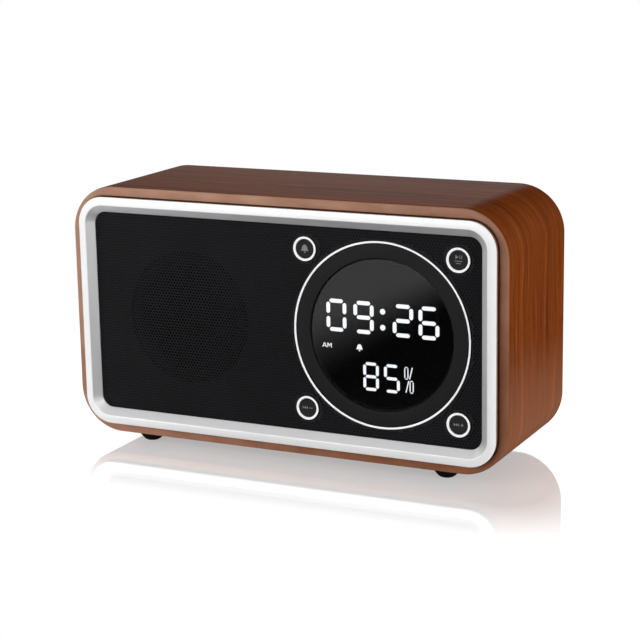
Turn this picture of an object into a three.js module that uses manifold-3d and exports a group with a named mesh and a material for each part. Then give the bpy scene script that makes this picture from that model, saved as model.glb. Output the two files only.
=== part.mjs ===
// Walnut-cased table clock with a loudspeaker, as an assembly of separate pieces.
// Millimetres, +Z up, X to the viewer's right, front towards -Y.
// The origin lies on the table, under the middle of the whole clock.
// Inside the clock, depths are counted from the front edge of the wooden case,
// and heights from the middle of the case.

import * as THREE from 'three';
import { mergeVertices } from 'three/addons/utils/BufferGeometryUtils.js';
import Module from 'manifold-3d';

const wasm = await Module();
wasm.setup();

// Shared fits and facet counts
const fit = 0.3; // clearance between neighbouring pieces
const overrun = 1; // how far a cutter passes the face that it cuts
const cornerSteps = 8; // facets in one rounded corner
const wideTurnSteps = 44; // facets round the display and its trim
const turnSteps = 20; // facets round the loudspeaker
const smallTurnSteps = 12; // facets round buttons, feet and screws

// Wooden case; its width and height follow from what the front has to hold
const caseDepth = 67.8;
const caseWall = 7;
const caseCornerRadius = 20;
const caseInnerCornerRadius = 13;
const caseEdgeRound = 0.8;
const screwPostRadius = 6;
const screwPostLength = 24;
const screwPostInset = 6.5; // from the inner walls to the middle of a post

// Metal bezel round the front
const frontStrip = 4.3; // wood and shadow gap left outside the bezel
const shadowGap = 0.6;
const bezelCornerRadius = 12;
const bezelLandWidth = 3.45;
const bezelSlopeWidth = 3.25;
const bezelProud = 3.17; // crest in front of the wood
const bezelEdgeProud = 2.55; // outer edge in front of the wood
const bezelLandSag = 0.09; // how far the land falls at its crest edge
const bezelEdgeRound = 0.35;
const bezelSheet = 1.2;
const bezelLipThickness = 0.3; // the lip's back is level with the wood

// Perforated grille and the moulded baffle behind it
const grilleSetback = 0.25;
const grilleThickness = 0.8;
const grilleTuck = 0.5; // grille edge hidden under the bezel's lip
const baffleThickness = 3;
const baffleRimSetback = 0.3; // baffle's side inside the bezel's side

// Front layout, inside the bezel's opening
const speakerSideMargin = 7.9; // from the opening to the loudspeaker's flange
const middleGap = 14.9; // from the flange to the display's outline ring
const buttonSideMargin = 4.76; // from the opening to the outer button rings
const buttonTopMargin = 4.4;

// Buttons
const buttonRingRadius = 5.34;
const buttonRingWidth = 1.25;
const buttonRingProud = 0.35;
const buttonCapProud = 0.15;
const buttonCapRound = 0.3;
const buttonFlangeWidth = 1.1;
const buttonFlangeThickness = 0.7;
const buttonStemRadius = 1.5;
const buttonTravel = 0.5;

// Tact switches behind the buttons
const switchWidth = 6.2;
const switchHeight = 3.5;
const plungerRadius = 1.6;
const plungerReach = 1; // plunger in front of the switch body at rest
const plungerDepth = 0.8; // plunger inside the switch body at rest

// Round clock display
const lightRingRadius = 39.2;
const ringToButtonGap = 3.12;
const lightRingWidth = 0.95;
const lightRingProud = 0.3;
const displayRingWidth = 6.3;
const displayRingProud = 0.15;
const displayRingEdge = 0.25;
const lensRecess = 0.9; // lens behind the display ring's face
const lensThickness = 1.2;
const lensLedgeWidth = 1.25;
const lensLedgeThickness = 0.95;
const displaySkirtWall = 2;
const maskThickness = 2.5;
const diffuserThickness = 1;
const displayBoardSetback = 12.3;
const boardThickness = 1.6;
const boardMargin = 3.2; // board beyond its switches and posts
const stakePostRadius = 3;
const stakePinRadius = 1.2;
const stakePinReach = 0.8; // pin beyond the board
const stakePostShare = 0.6; // sideways place of a display post, of the buttons' half spacing

// Digits and signs, as shares of the lens radius
const timeDigitWidthShare = 0.2875;
const timeDigitHeightShare = 0.436;
const timeStrokeShare = 0.06;
const timeHeightShare = 0.205; // middle of the time above the middle of the lens
const timePlaceShares = [-0.656, -0.269, 0.279, 0.636];
const colonPlaceShare = -0.002;
const colonSpreadShare = 0.105;
const colonDotShare = 0.0365;
const chargeDigitWidthShare = 0.231;
const chargeDigitHeightShare = 0.395;
const chargeStrokeShare = 0.0474;
const chargeHeightShare = -0.57;
const chargePlaceShares = [-0.172, 0.12];
const percentPlaceShare = 0.355;
const percentBarShare = 0.016;
const percentZeroWidthShare = 0.055;
const percentZeroHeightShare = 0.15;
const percentLeanShare = 0.045;
const percentSpreadShares = [0.033, 0.086];
const signHeightShare = -0.202;
const signWindowShares = [[-0.791, 0.145, 0.075], [-0.329, 0.085, 0.125]]; // place, width, height
const segmentGap = 0.3; // from a bar's tip to the corner that two bars share
const signTipShare = 0.4; // how blunt the ends of dots, signs and thin bars are
const segmentClearance = 0.1; // slot round each raised segment

// Loudspeaker
const flangeRadius = 36.1;
const flangeThickness = 1.2;
const speakerScrewInset = 2.6; // from the flange's edge to its screws
const surroundLipInset = 4.6; // from the flange's edge to the surround's lip
const surroundLipWidth = 2.6;
const surroundRollWidth = 6.4;
const surroundSheet = 0.4;
const surroundHem = 1.8; // inner hem of the surround, beside the cone's rim
const coneSheet = 0.6;
const coneRimDepth = 2.2;
const coneDepth = 9.5;
const coneTravel = 1.2;
const coilRadius = 8.2;
const coilWall = 0.5;
const coilLength = 11;
const coilLead = 1.4; // former in front of the cone's neck
const dustCapRise = 3.2;
const dustCapSheet = 0.5;
const spiderRest = 1.1; // air left between the cone's neck and the spider at full stroke
const spiderSheet = 0.5;
const spiderWave = 0.5;
const basketFloorRadius = 21;
const basketSheet = 1.4;
const basketFloorGap = 2; // from the spider to the basket's floor
const basketWindowWidth = 12;
const basketWindowCount = 4;
const topPlateRadius = 20;
const topPlateThickness = 3;
const magnetRadius = 24;
const magnetThickness = 8;
const magnetBoreRadius = 12;
const yokeThickness = 3;
const poleGap = 0.4; // air between the voice coil and the pole, and the plate

// Self-tapping screws and their holes
const screwShankRadius = 1.3;
const screwHoleGap = 0.3;
const screwHeadRadius = 2.8;
const screwHeadHeight = 1.5;
const speakerScrewReach = 2; // shank inside the baffle
const rearScrewLength = 14;

// Rear panel and what it carries
const rearStrip = 4.3; // wood left outside the panel
const rearCornerRadius = 15.7;
const rearRecess = 2; // panel's face inside the case's rear edge
const rearPanelThickness = 2.7;
const rearCounterboreFloor = 1.5; // panel left under a screw's head
const mainBoardWidth = 84;
const mainBoardHeight = 54;
const mainBoardGap = 5.2; // from the panel to the board
const mainStakeInset = 4;
const socketDrop = 12; // sockets under the middle of the board
const socketSpacing = 18;
const socketSetback = 0.3; // mouths inside the panel's face

// Sockets and power switch
const jackWidth = 8;
const jackBushRadius = 2.9;
const jackBoreRadius = 1.8;
const jackBackWall = 1;
const usbWidth = 9;
const usbHeight = 3.3;
const usbShell = 0.35;
const usbTongueWidth = 6.4;
const usbTongueThickness = 0.7;
const usbTongueSetback = 0.9;
const powerWall = 1.2;
const sliderWidth = 3;
const sliderHeight = 2.8;
const sliderProud = 1.2; // knob behind the panel's face
const sliderBaseOverhang = 0.8;
const sliderTravel = 2;
const canWidth = 26;
const canHeight = 20;
const canDepth = 3;

// Battery and its cradle
const cellRadius = 9.1;
const cellLength = 65;
const cellButtonRadius = 2.9;
const cellButtonHeight = 1;
const cradleWall = 1.6;
const cradleFloor = 2.4;
const cradleDepthPlace = 33; // middle of the cell behind the case's front edge

// Inner leads
const leadRadius = 0.8;
const leadSides = 4;
const leadSteps = 14;
const leadBow = 9; // how far a lead swings out on its way
const ribbonWidth = 14;
const ribbonSheet = 0.5;
const ribbonFoot = 6; // flat run of the ribbon on each board
const ribbonRise = 9; // how much higher it meets the main board

// Rubber feet
const footHeight = 4.7;
const footTopRadius = 5.5;
const footBaseRadius = 4.3;
const footEdge = 0.8;
const footStemRadius = 2;
const footStemLength = 4.6;
const footSideInset = 30; // from the case's side to a foot's middle
const footEndInset = 9.6; // from the case's front or rear edge to a foot's middle

// Places that follow from the sizes
const buttonHalfRise = (lightRingRadius + ringToButtonGap + buttonRingRadius) * Math.SQRT1_2;
const openingHalfHeight = buttonHalfRise + buttonRingRadius + buttonTopMargin;
const displaySideReach = buttonHalfRise + buttonRingRadius + buttonSideMargin;
const speakerSideReach = speakerSideMargin + flangeRadius;
const speakerEdge = speakerSideReach + flangeRadius;
const openingHalfWidth = (speakerEdge + middleGap + lightRingRadius + displaySideReach) / 2;
const displayPlace = openingHalfWidth - displaySideReach;
const speakerPlace = speakerSideReach - openingHalfWidth;
const bezelWidth = bezelLandWidth + bezelSlopeWidth;
const bezelHalfWidth = openingHalfWidth + bezelWidth;
const bezelHalfHeight = openingHalfHeight + bezelWidth;
const caseHalfWidth = bezelHalfWidth + frontStrip;
const caseHalfHeight = bezelHalfHeight + frontStrip;
const innerHalfWidth = caseHalfWidth - caseWall;
const innerHalfHeight = caseHalfHeight - caseWall;
const grilleBack = grilleSetback + grilleThickness;
const baffleFront = grilleBack + fit;
const baffleBack = baffleFront + baffleThickness;
const frontShoulder = baffleBack + fit;
const panelBack = caseDepth - rearRecess;
const panelFront = panelBack - rearPanelThickness;
const rearShoulder = panelFront - fit;
const mainBoardBack = panelFront - mainBoardGap;
const mainBoardFront = mainBoardBack - boardThickness;
const displayBoardBack = displayBoardSetback + boardThickness;
const displayRingRadius = lightRingRadius - lightRingWidth - fit;
const lensRadius = displayRingRadius - displayRingWidth;

// Materials
const finish = (color, roughness, metalness) => ({ color, roughness, metalness });
const walnut = finish(0x8a4a26, 0.5, 0);
const satinSilver = finish(0xd8d8da, 0.35, 0.9);
const blackPlastic = finish(0x151516, 0.55, 0);
const blackMesh = finish(0x101011, 0.6, 0.3);
const smokedAcrylic = finish(0x050506, 0.08, 0);
const milkyPlastic = finish(0xf4f4f2, 0.4, 0);
const greyCap = finish(0x2a2a2c, 0.5, 0);
const blackRubber = finish(0x0e0e0e, 0.9, 0);
const steel = finish(0x9a9ca0, 0.35, 1);
const copper = finish(0xb06a3a, 0.4, 1);
const ferrite = finish(0x2b2b2d, 0.7, 0);
const paperCone = finish(0x1c1c1e, 0.85, 0);
const greenBoard = finish(0x1d4a2c, 0.5, 0);
const cellWrap = finish(0x2f6fa8, 0.4, 0);
const leadCover = finish(0x8c1f1f, 0.6, 0);

// Welds corners, drops flat triangles and turns the faces outward
function closed(geometry) {
  const bare = new THREE.BufferGeometry();
  bare.setAttribute('position', geometry.getAttribute('position').clone());
  bare.setIndex(geometry.getIndex());
  const welded = mergeVertices(bare);
  const corner = welded.getIndex().array;
  const place = welded.getAttribute('position');
  const [a, b, c] = [new THREE.Vector3(), new THREE.Vector3(), new THREE.Vector3()];
  const faces = [];
  let volume = 0;
  for (let i = 0; i < corner.length; i += 3) {
    const face = [corner[i], corner[i + 1], corner[i + 2]];
    if (new Set(face).size < 3) continue;
    a.fromBufferAttribute(place, face[0]);
    b.fromBufferAttribute(place, face[1]);
    c.fromBufferAttribute(place, face[2]);
    volume += a.dot(b.clone().cross(c));
    faces.push(face);
  }
  welded.setIndex(faces.map((face) => (volume < 0 ? face.reverse() : face)).flat());
  return welded;
}

// Turns a closed geometry into a solid for joining and cutting
function toSolid(geometry) {
  const shell = closed(geometry);
  return new wasm.Manifold(new wasm.Mesh({
    numProp: 3,
    vertProperties: new Float32Array(shell.getAttribute('position').array),
    triVerts: new Uint32Array(shell.getIndex().array),
  }));
}

// Joins some geometries and cuts others away from the result
function carve(joined, removed) {
  let solid = toSolid(joined[0]);
  for (const geometry of joined.slice(1)) solid = solid.add(toSolid(geometry));
  for (const geometry of removed) solid = solid.subtract(toSolid(geometry));
  const mesh = solid.getMesh();
  const result = new THREE.BufferGeometry();
  result.setAttribute('position', new THREE.BufferAttribute(new Float32Array(mesh.vertProperties), 3));
  result.setIndex([...mesh.triVerts]);
  return result;
}

// A named mesh of one closed body
function piece(parent, name, geometry, look, x = 0, y = 0, z = 0) {
  const body = closed(geometry);
  body.computeVertexNormals();
  const mesh = new THREE.Mesh(body, new THREE.MeshStandardMaterial({ ...look, flatShading: true }));
  mesh.name = name;
  mesh.position.set(x, y, z);
  parent.add(mesh);
  return mesh;
}

// A rounded rectangle at one depth, as a run of four corner arcs
function outlineRing(halfWidth, halfHeight, radius, depth) {
  const points = [];
  [[1, 1], [-1, 1], [-1, -1], [1, -1]].forEach(([sideX, sideZ], quarter) => {
    for (let step = 0; step <= cornerSteps; step++) {
      const angle = (quarter + step / cornerSteps) * Math.PI / 2;
      points.push([
        sideX * (halfWidth - radius) + radius * Math.cos(angle),
        depth,
        sideZ * (halfHeight - radius) + radius * Math.sin(angle),
      ]);
    }
  });
  return points;
}

// Skin over a closed run of rings: the last ring joins the first
function frameFromRings(rings) {
  const count = rings[0].length;
  const faces = [];
  rings.forEach((ring, level) => {
    const here = level * count;
    const next = ((level + 1) % rings.length) * count;
    for (let i = 0; i < count; i++) {
      const j = (i + 1) % count;
      faces.push(here + i, here + j, next + j, here + i, next + j, next + i);
    }
  });
  const geometry = new THREE.BufferGeometry();
  geometry.setAttribute('position', new THREE.Float32BufferAttribute(rings.flat(2), 3));
  geometry.setIndex(faces);
  return geometry;
}

// Turned about the front-to-back axis; the profile holds [radius, depth] pairs
function turned(profile, steps) {
  return new THREE.LatheGeometry(profile.map(([radius, depth]) => new THREE.Vector2(radius, depth)), steps);
}

// A turned ring closes its profile on itself
function turnedRing(profile, steps) {
  return turned([...profile, profile[0]], steps);
}

// A drum or pin between two depths
function drum(radius, front, back, steps = smallTurnSteps) {
  return turned([[0, front], [radius, front], [radius, back], [0, back]], steps);
}

// The cutter of a round hole between two depths, run past both of them
function bore(radius, front, back, x = 0, z = 0, steps = smallTurnSteps) {
  return drum(radius, front - overrun, back + overrun, steps).translate(x, 0, z);
}

// A flat outline in X and Z, carried from one depth to another
function slab(shape, front, back, curveSegments = cornerSteps / 2) {
  const depth = back - front;
  const geometry = new THREE.ExtrudeGeometry(shape, { depth, bevelEnabled: false, curveSegments });
  geometry.rotateX(Math.PI / 2);
  geometry.translate(0, back, 0);
  return geometry;
}

// A block between depths, centred on X and Z
function block(width, height, front, back, x = 0, z = 0) {
  const geometry = new THREE.BoxGeometry(width, back - front, height);
  geometry.translate(x, (front + back) / 2, z);
  return geometry;
}

function roundedShape(halfWidth, halfHeight, radius) {
  const shape = new THREE.Shape();
  shape.absarc(halfWidth - radius, halfHeight - radius, radius, 0, Math.PI / 2);
  shape.absarc(radius - halfWidth, halfHeight - radius, radius, Math.PI / 2, Math.PI);
  shape.absarc(radius - halfWidth, radius - halfHeight, radius, Math.PI, Math.PI * 3 / 2);
  shape.absarc(halfWidth - radius, radius - halfHeight, radius, Math.PI * 3 / 2, Math.PI * 2);
  shape.closePath();
  return shape;
}

function circleShape(radius, x = 0, z = 0) {
  const shape = new THREE.Shape();
  shape.absarc(x, z, radius, 0, Math.PI * 2);
  return shape;
}

// Four places mirrored about both axes
function fourPlaces(x, z) {
  return [
    { place: 'top_left', x: -x, z },
    { place: 'top_right', x, z },
    { place: 'bottom_left', x: -x, z: -z },
    { place: 'bottom_right', x, z: -z },
  ];
}

// A pan-headed screw whose head rests on a face, turned about the front-to-back axis
function screw(headFront, shankEnd) {
  return turned([
    [0, shankEnd],
    [screwShankRadius, shankEnd + screwShankRadius],
    [screwShankRadius, headFront],
    [screwHeadRadius, headFront],
    [screwHeadRadius - screwHeadHeight / 3, headFront + screwHeadHeight],
    [0, headFront + screwHeadHeight],
  ], smallTurnSteps);
}

// Wooden case: a bent shell with a step at each end, four screw posts and four foot holes
function addCase(parent) {
  const half = caseEdgeRound * (1 - Math.SQRT1_2);
  const outer = (inset, depth) => outlineRing(
    caseHalfWidth - inset, caseHalfHeight - inset, caseCornerRadius - inset, depth);
  const frontInset = frontStrip - shadowGap;
  const frontStep = (depth) => outlineRing(
    caseHalfWidth - frontInset, caseHalfHeight - frontInset, bezelCornerRadius + shadowGap, depth);
  const rearStep = (depth) => outlineRing(
    caseHalfWidth - rearStrip + fit, caseHalfHeight - rearStrip + fit, rearCornerRadius + fit, depth);
  const inner = (depth) => outlineRing(innerHalfWidth, innerHalfHeight, caseInnerCornerRadius, depth);
  const shell = frameFromRings([
    outer(caseEdgeRound, 0),
    outer(half, half),
    outer(0, caseEdgeRound),
    outer(0, caseDepth - caseEdgeRound),
    outer(half, caseDepth - half),
    outer(caseEdgeRound, caseDepth),
    rearStep(caseDepth),
    rearStep(rearShoulder),
    inner(rearShoulder),
    inner(frontShoulder),
    frontStep(frontShoulder),
    frontStep(0),
  ]);
  const posts = [];
  const holes = [];
  for (const { x, z } of rearScrewPlaces) {
    posts.push(drum(screwPostRadius, rearShoulder - screwPostLength, rearShoulder).translate(x, 0, z));
    const pilotFront = rearScrewSeat - rearScrewLength - fit + overrun;
    holes.push(bore(screwHoleRadius, pilotFront, rearShoulder, x, z));
  }
  for (const { x, y } of footPlaces) {
    const hole = drum(footStemRadius + fit, -overrun, footStemLength + fit);
    holes.push(hole.rotateX(Math.PI / 2).translate(x, y, -caseHalfHeight));
  }
  piece(parent, 'wooden_case', carve([shell, ...posts], holes), walnut);
}

// Bezel: a formed metal frame with a flat land outside and a slope inside
function addBezel(parent) {
  const ring = (inset, depth) => outlineRing(
    bezelHalfWidth - inset, bezelHalfHeight - inset, bezelCornerRadius - inset, depth);
  const crest = -bezelProud;
  piece(parent, 'front_bezel', frameFromRings([
    ring(0, -bezelEdgeProud),
    ring(bezelEdgeRound, -bezelEdgeProud - bezelEdgeRound),
    ring(bezelLandWidth / 2, crest + bezelLandSag),
    ring(bezelLandWidth - bezelEdgeRound, crest),
    ring(bezelLandWidth, crest + bezelLandSag),
    ring(bezelWidth, -bezelLipThickness),
    ring(bezelWidth, 0),
    ring(bezelWidth - bezelLipThickness, 0),
    ring(bezelLandWidth - bezelLipThickness, crest + bezelSheet),
    ring(0, crest + bezelSheet),
  ]), satinSilver);
}

// Baffle: the black moulding that carries bezel, grille, display and loudspeaker
function addBaffle(parent) {
  const side = baffleRimSetback;
  const ring = (inset, depth) => outlineRing(
    bezelHalfWidth - inset, bezelHalfHeight - inset, bezelCornerRadius - inset, depth);
  const rimFront = bezelSheet - bezelProud + fit;
  const recess = bezelWidth - grilleTuck - fit;
  const rim = frameFromRings([
    ring(side, rimFront),
    ring(bezelLandWidth - bezelLipThickness - fit, rimFront),
    ring(recess, fit),
    ring(recess, baffleFront + overrun),
    ring(side, baffleFront + overrun),
  ]);
  const plateShape = roundedShape(bezelHalfWidth - side, bezelHalfHeight - side, bezelCornerRadius - side);
  const plate = slab(plateShape, baffleFront, baffleBack);
  const posts = displayStakePlaces.map(({ x, z }) => stakePost(baffleBack - overrun, displayBoardSetback,
    displayBoardBack, displayPlace + x, z));
  const holes = [
    bore(surroundLipRadius - surroundLipWidth, baffleFront, baffleBack, speakerPlace, 0, turnSteps),
    bore(displaySkirtRadius + fit, baffleFront, baffleBack, displayPlace, 0, wideTurnSteps),
  ];
  for (const { x, z } of buttonPlaces) {
    holes.push(bore(buttonRingRadius + fit, baffleFront, baffleBack, displayPlace + x, z));
  }
  const pilotFront = baffleBack - speakerScrewReach - fit + overrun;
  for (const { x, z } of speakerScrewPlaces) {
    holes.push(bore(screwHoleRadius, pilotFront, baffleBack, speakerPlace + x, z));
  }
  piece(parent, 'front_baffle', carve([plate, rim, ...posts], holes), blackPlastic);
}

// A moulded post with a thin pin that holds a board; it runs from its root to the board's far side
function stakePost(root, seat, boardFar, x, z) {
  const way = Math.sign(seat - root);
  const profile = [
    [0, root],
    [stakePostRadius, root],
    [stakePostRadius, seat - way * fit],
    [stakePinRadius, seat - way * fit],
    [stakePinRadius, boardFar + way * stakePinReach],
    [0, boardFar + way * stakePinReach],
  ];
  return turned(profile, smallTurnSteps).translate(x, 0, z);
}

// Grille: a flat sheet under the bezel's lip; its fine round perforation isn't cut here
function addGrille(parent) {
  const edge = bezelWidth - grilleTuck;
  const shape = roundedShape(bezelHalfWidth - edge, bezelHalfHeight - edge, bezelCornerRadius - edge);
  const holes = [bore(lightRingRadius + fit, grilleSetback, grilleBack, displayPlace, 0, wideTurnSteps)];
  for (const { x, z } of buttonPlaces) {
    holes.push(bore(buttonRingRadius + fit, grilleSetback, grilleBack, displayPlace + x, z));
  }
  piece(parent, 'speaker_grille', carve([slab(shape, grilleSetback, grilleBack)], holes), blackMesh);
}

// Display: white outline ring, black ring with a skirt, and the smoked lens on its ledge
function addDisplayTrim(parent) {
  piece(parent, 'display_light_ring', turnedRing([
    [lightRingRadius - lightRingWidth, -lightRingProud],
    [lightRingRadius, -lightRingProud],
    [lightRingRadius, grilleBack],
    [lightRingRadius - lightRingWidth, grilleBack],
  ], wideTurnSteps), milkyPlastic);
  const face = -displayRingProud;
  const lensFront = face + lensRecess;
  const ledgeFront = lensFront + lensThickness + fit;
  const bore = lensRadius + fit;
  piece(parent, 'display_ring', turnedRing([
    [bore + displayRingEdge, face],
    [displayRingRadius - displayRingEdge, face],
    [displayRingRadius, face + displayRingEdge],
    [displayRingRadius, grilleBack],
    [displaySkirtRadius, grilleBack],
    [displaySkirtRadius, diffuserBack],
    [displaySkirtRadius - displaySkirtWall, diffuserBack],
    [displaySkirtRadius - displaySkirtWall, ledgeFront + lensLedgeThickness],
    [lensLedgeBore, ledgeFront + lensLedgeThickness],
    [lensLedgeBore, ledgeFront],
    [bore, ledgeFront],
    [bore, face + displayRingEdge],
  ], wideTurnSteps), blackPlastic);
  piece(parent, 'display_lens', turned([
    [0, lensFront],
    [lensRadius - displayRingEdge, lensFront],
    [lensRadius, lensFront + displayRingEdge],
    [lensRadius, lensFront + lensThickness],
    [0, lensFront + lensThickness],
  ], wideTurnSteps), smokedAcrylic);
}

// A straight bar with pointed or blunt ends along its longer side, grown on all sides by a margin
function barShape(x, z, width, height, tipShare, lean, grow) {
  const lying = width > height;
  const stroke = (lying ? height : width) / 2 + grow;
  const reach = (lying ? width : height) / 2 + grow * Math.SQRT2;
  const shoulder = reach - stroke * tipShare;
  const outline = [
    [reach, 0], [shoulder, stroke], [-shoulder, stroke],
    [-reach, 0], [-shoulder, -stroke], [shoulder, -stroke],
  ];
  return new THREE.Shape(outline.map(([along, across]) => (lying
    ? new THREE.Vector2(x + along, z + across)
    : new THREE.Vector2(x - across + lean * along / reach, z + along))));
}

// The seven bars of a digit about its middle
function digitBars(x, z, width, height, stroke, grow) {
  const halfAcross = (width - stroke) / 2;
  const halfUp = (height - stroke) / 2;
  const across = halfAcross * 2 - segmentGap * 2;
  const upright = halfUp - segmentGap * 2;
  const bars = [1, 0, -1].map((row) => barShape(x, z + row * halfUp, across, stroke, 1, 0, grow));
  for (const side of [-1, 1]) {
    for (const row of [-1, 1]) {
      bars.push(barShape(x + side * halfAcross, z + row * halfUp / 2, stroke, upright, 1, 0, grow));
    }
  }
  return bars;
}

// Every lit window of the display, grown by a margin where the mask's slots need it
function displayWindows(grow) {
  const r = lensRadius;
  const windows = [];
  for (const place of timePlaceShares) {
    windows.push(...digitBars(place * r, timeHeightShare * r,
      timeDigitWidthShare * r, timeDigitHeightShare * r, timeStrokeShare * r, grow));
  }
  for (const place of chargePlaceShares) {
    windows.push(...digitBars(place * r, chargeHeightShare * r,
      chargeDigitWidthShare * r, chargeDigitHeightShare * r, chargeStrokeShare * r, grow));
  }
  for (const row of [-1, 1]) {
    const dot = colonDotShare * r * 2;
    windows.push(barShape(colonPlaceShare * r, (timeHeightShare + row * colonSpreadShare) * r,
      dot, dot, signTipShare, 0, grow));
  }
  for (const row of [-1, 1]) {
    const bar = percentBarShare * r;
    const x = (percentPlaceShare - row * percentSpreadShares[0]) * r;
    const z = (chargeHeightShare + row * percentSpreadShares[1]) * r;
    const rise = percentZeroHeightShare * r;
    const half = (percentZeroWidthShare * r - bar) / 2;
    windows.push(barShape(x - half, z, bar, rise, signTipShare, 0, grow));
    windows.push(barShape(x + half, z, bar, rise, signTipShare, 0, grow));
    windows.push(barShape(x + row * percentSpreadShares[0] * 2 * r, z, bar, rise, signTipShare,
      percentLeanShare * r / 2, grow));
  }
  for (const [place, width, height] of signWindowShares) {
    windows.push(barShape(place * r, signHeightShare * r, width * r, height * r, signTipShare, 0, grow));
  }
  return windows;
}

// Display module: a slotted black mask that reaches through the ledge to the lens,
// and a milky plate whose raised bars fill the slots
function addDisplayModule(parent) {
  const radius = displaySkirtRadius - displaySkirtWall - fit;
  const maskBack = maskSeat + maskThickness;
  const slots = displayWindows(segmentClearance).map(
    (shape) => slab(shape, maskFront - overrun, maskBack + overrun));
  const mask = carve([
    drum(lensLedgeBore - fit, maskFront, maskBack, wideTurnSteps),
    drum(radius, maskSeat, maskBack, turnSteps),
  ], slots);
  piece(parent, 'display_mask', mask, blackPlastic);
  const plate = drum(radius, diffuserBack - diffuserThickness, diffuserBack, turnSteps);
  const barBack = diffuserBack - diffuserThickness / 2;
  const bars = displayWindows(0).map((shape) => slab(shape, maskFront + fit, barBack));
  piece(parent, 'segment_diffuser', carve([plate, ...bars], []), milkyPlastic);
}

// Display board, with a hole for each stake pin
function addDisplayBoard(parent) {
  const halfWidth = buttonHalfRise + switchWidth / 2 + boardMargin;
  const shape = roundedShape(halfWidth, displayBoardHalfHeight, boardMargin / 2);
  for (const { x, z } of displayStakePlaces) shape.holes.push(circleShape(stakePinRadius + fit, x, z));
  piece(parent, 'display_board', slab(shape, displayBoardSetback, displayBoardBack), greenBoard);
}

// Four buttons: a white ring, a dark cap, and a tact switch with its plunger
function addButtons(parent) {
  const ringBore = buttonRingRadius - buttonRingWidth;
  const capRadius = ringBore - fit;
  const flangeFront = baffleBack + fit;
  const flangeBack = flangeFront + buttonFlangeThickness;
  const switchFront = displayBoardSetback - fit - switchHeight;
  const switchBack = displayBoardSetback - fit;
  const plungerFront = switchFront - plungerReach;
  for (const { place, x, z } of buttonPlaces) {
    piece(parent, `button_ring_${place}`, turnedRing([
      [ringBore, -buttonRingProud],
      [buttonRingRadius, -buttonRingProud],
      [buttonRingRadius, baffleBack],
      [ringBore, baffleBack],
    ], smallTurnSteps * 2), milkyPlastic, x, 0, z);
    piece(parent, `button_cap_${place}`, turned([
      [0, -buttonCapProud],
      [capRadius - buttonCapRound, -buttonCapProud],
      [capRadius, buttonCapRound - buttonCapProud],
      [capRadius, flangeFront],
      [capRadius + buttonFlangeWidth, flangeFront],
      [capRadius + buttonFlangeWidth, flangeBack],
      [buttonStemRadius, flangeBack],
      [buttonStemRadius, plungerFront - fit],
      [0, plungerFront - fit],
    ], smallTurnSteps), greyCap, x, 0, z);
    piece(parent, `switch_plunger_${place}`,
      drum(plungerRadius, plungerFront, switchFront + plungerDepth), greyCap, x, 0, z);
    const well = drum(plungerRadius + fit, switchFront - overrun,
      switchFront + plungerDepth + buttonTravel + fit);
    const switchBody = carve([block(switchWidth, switchWidth, switchFront, switchBack)], [well]);
    piece(parent, `switch_body_${place}`, switchBody, steel, x, 0, z);
  }
}

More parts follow.
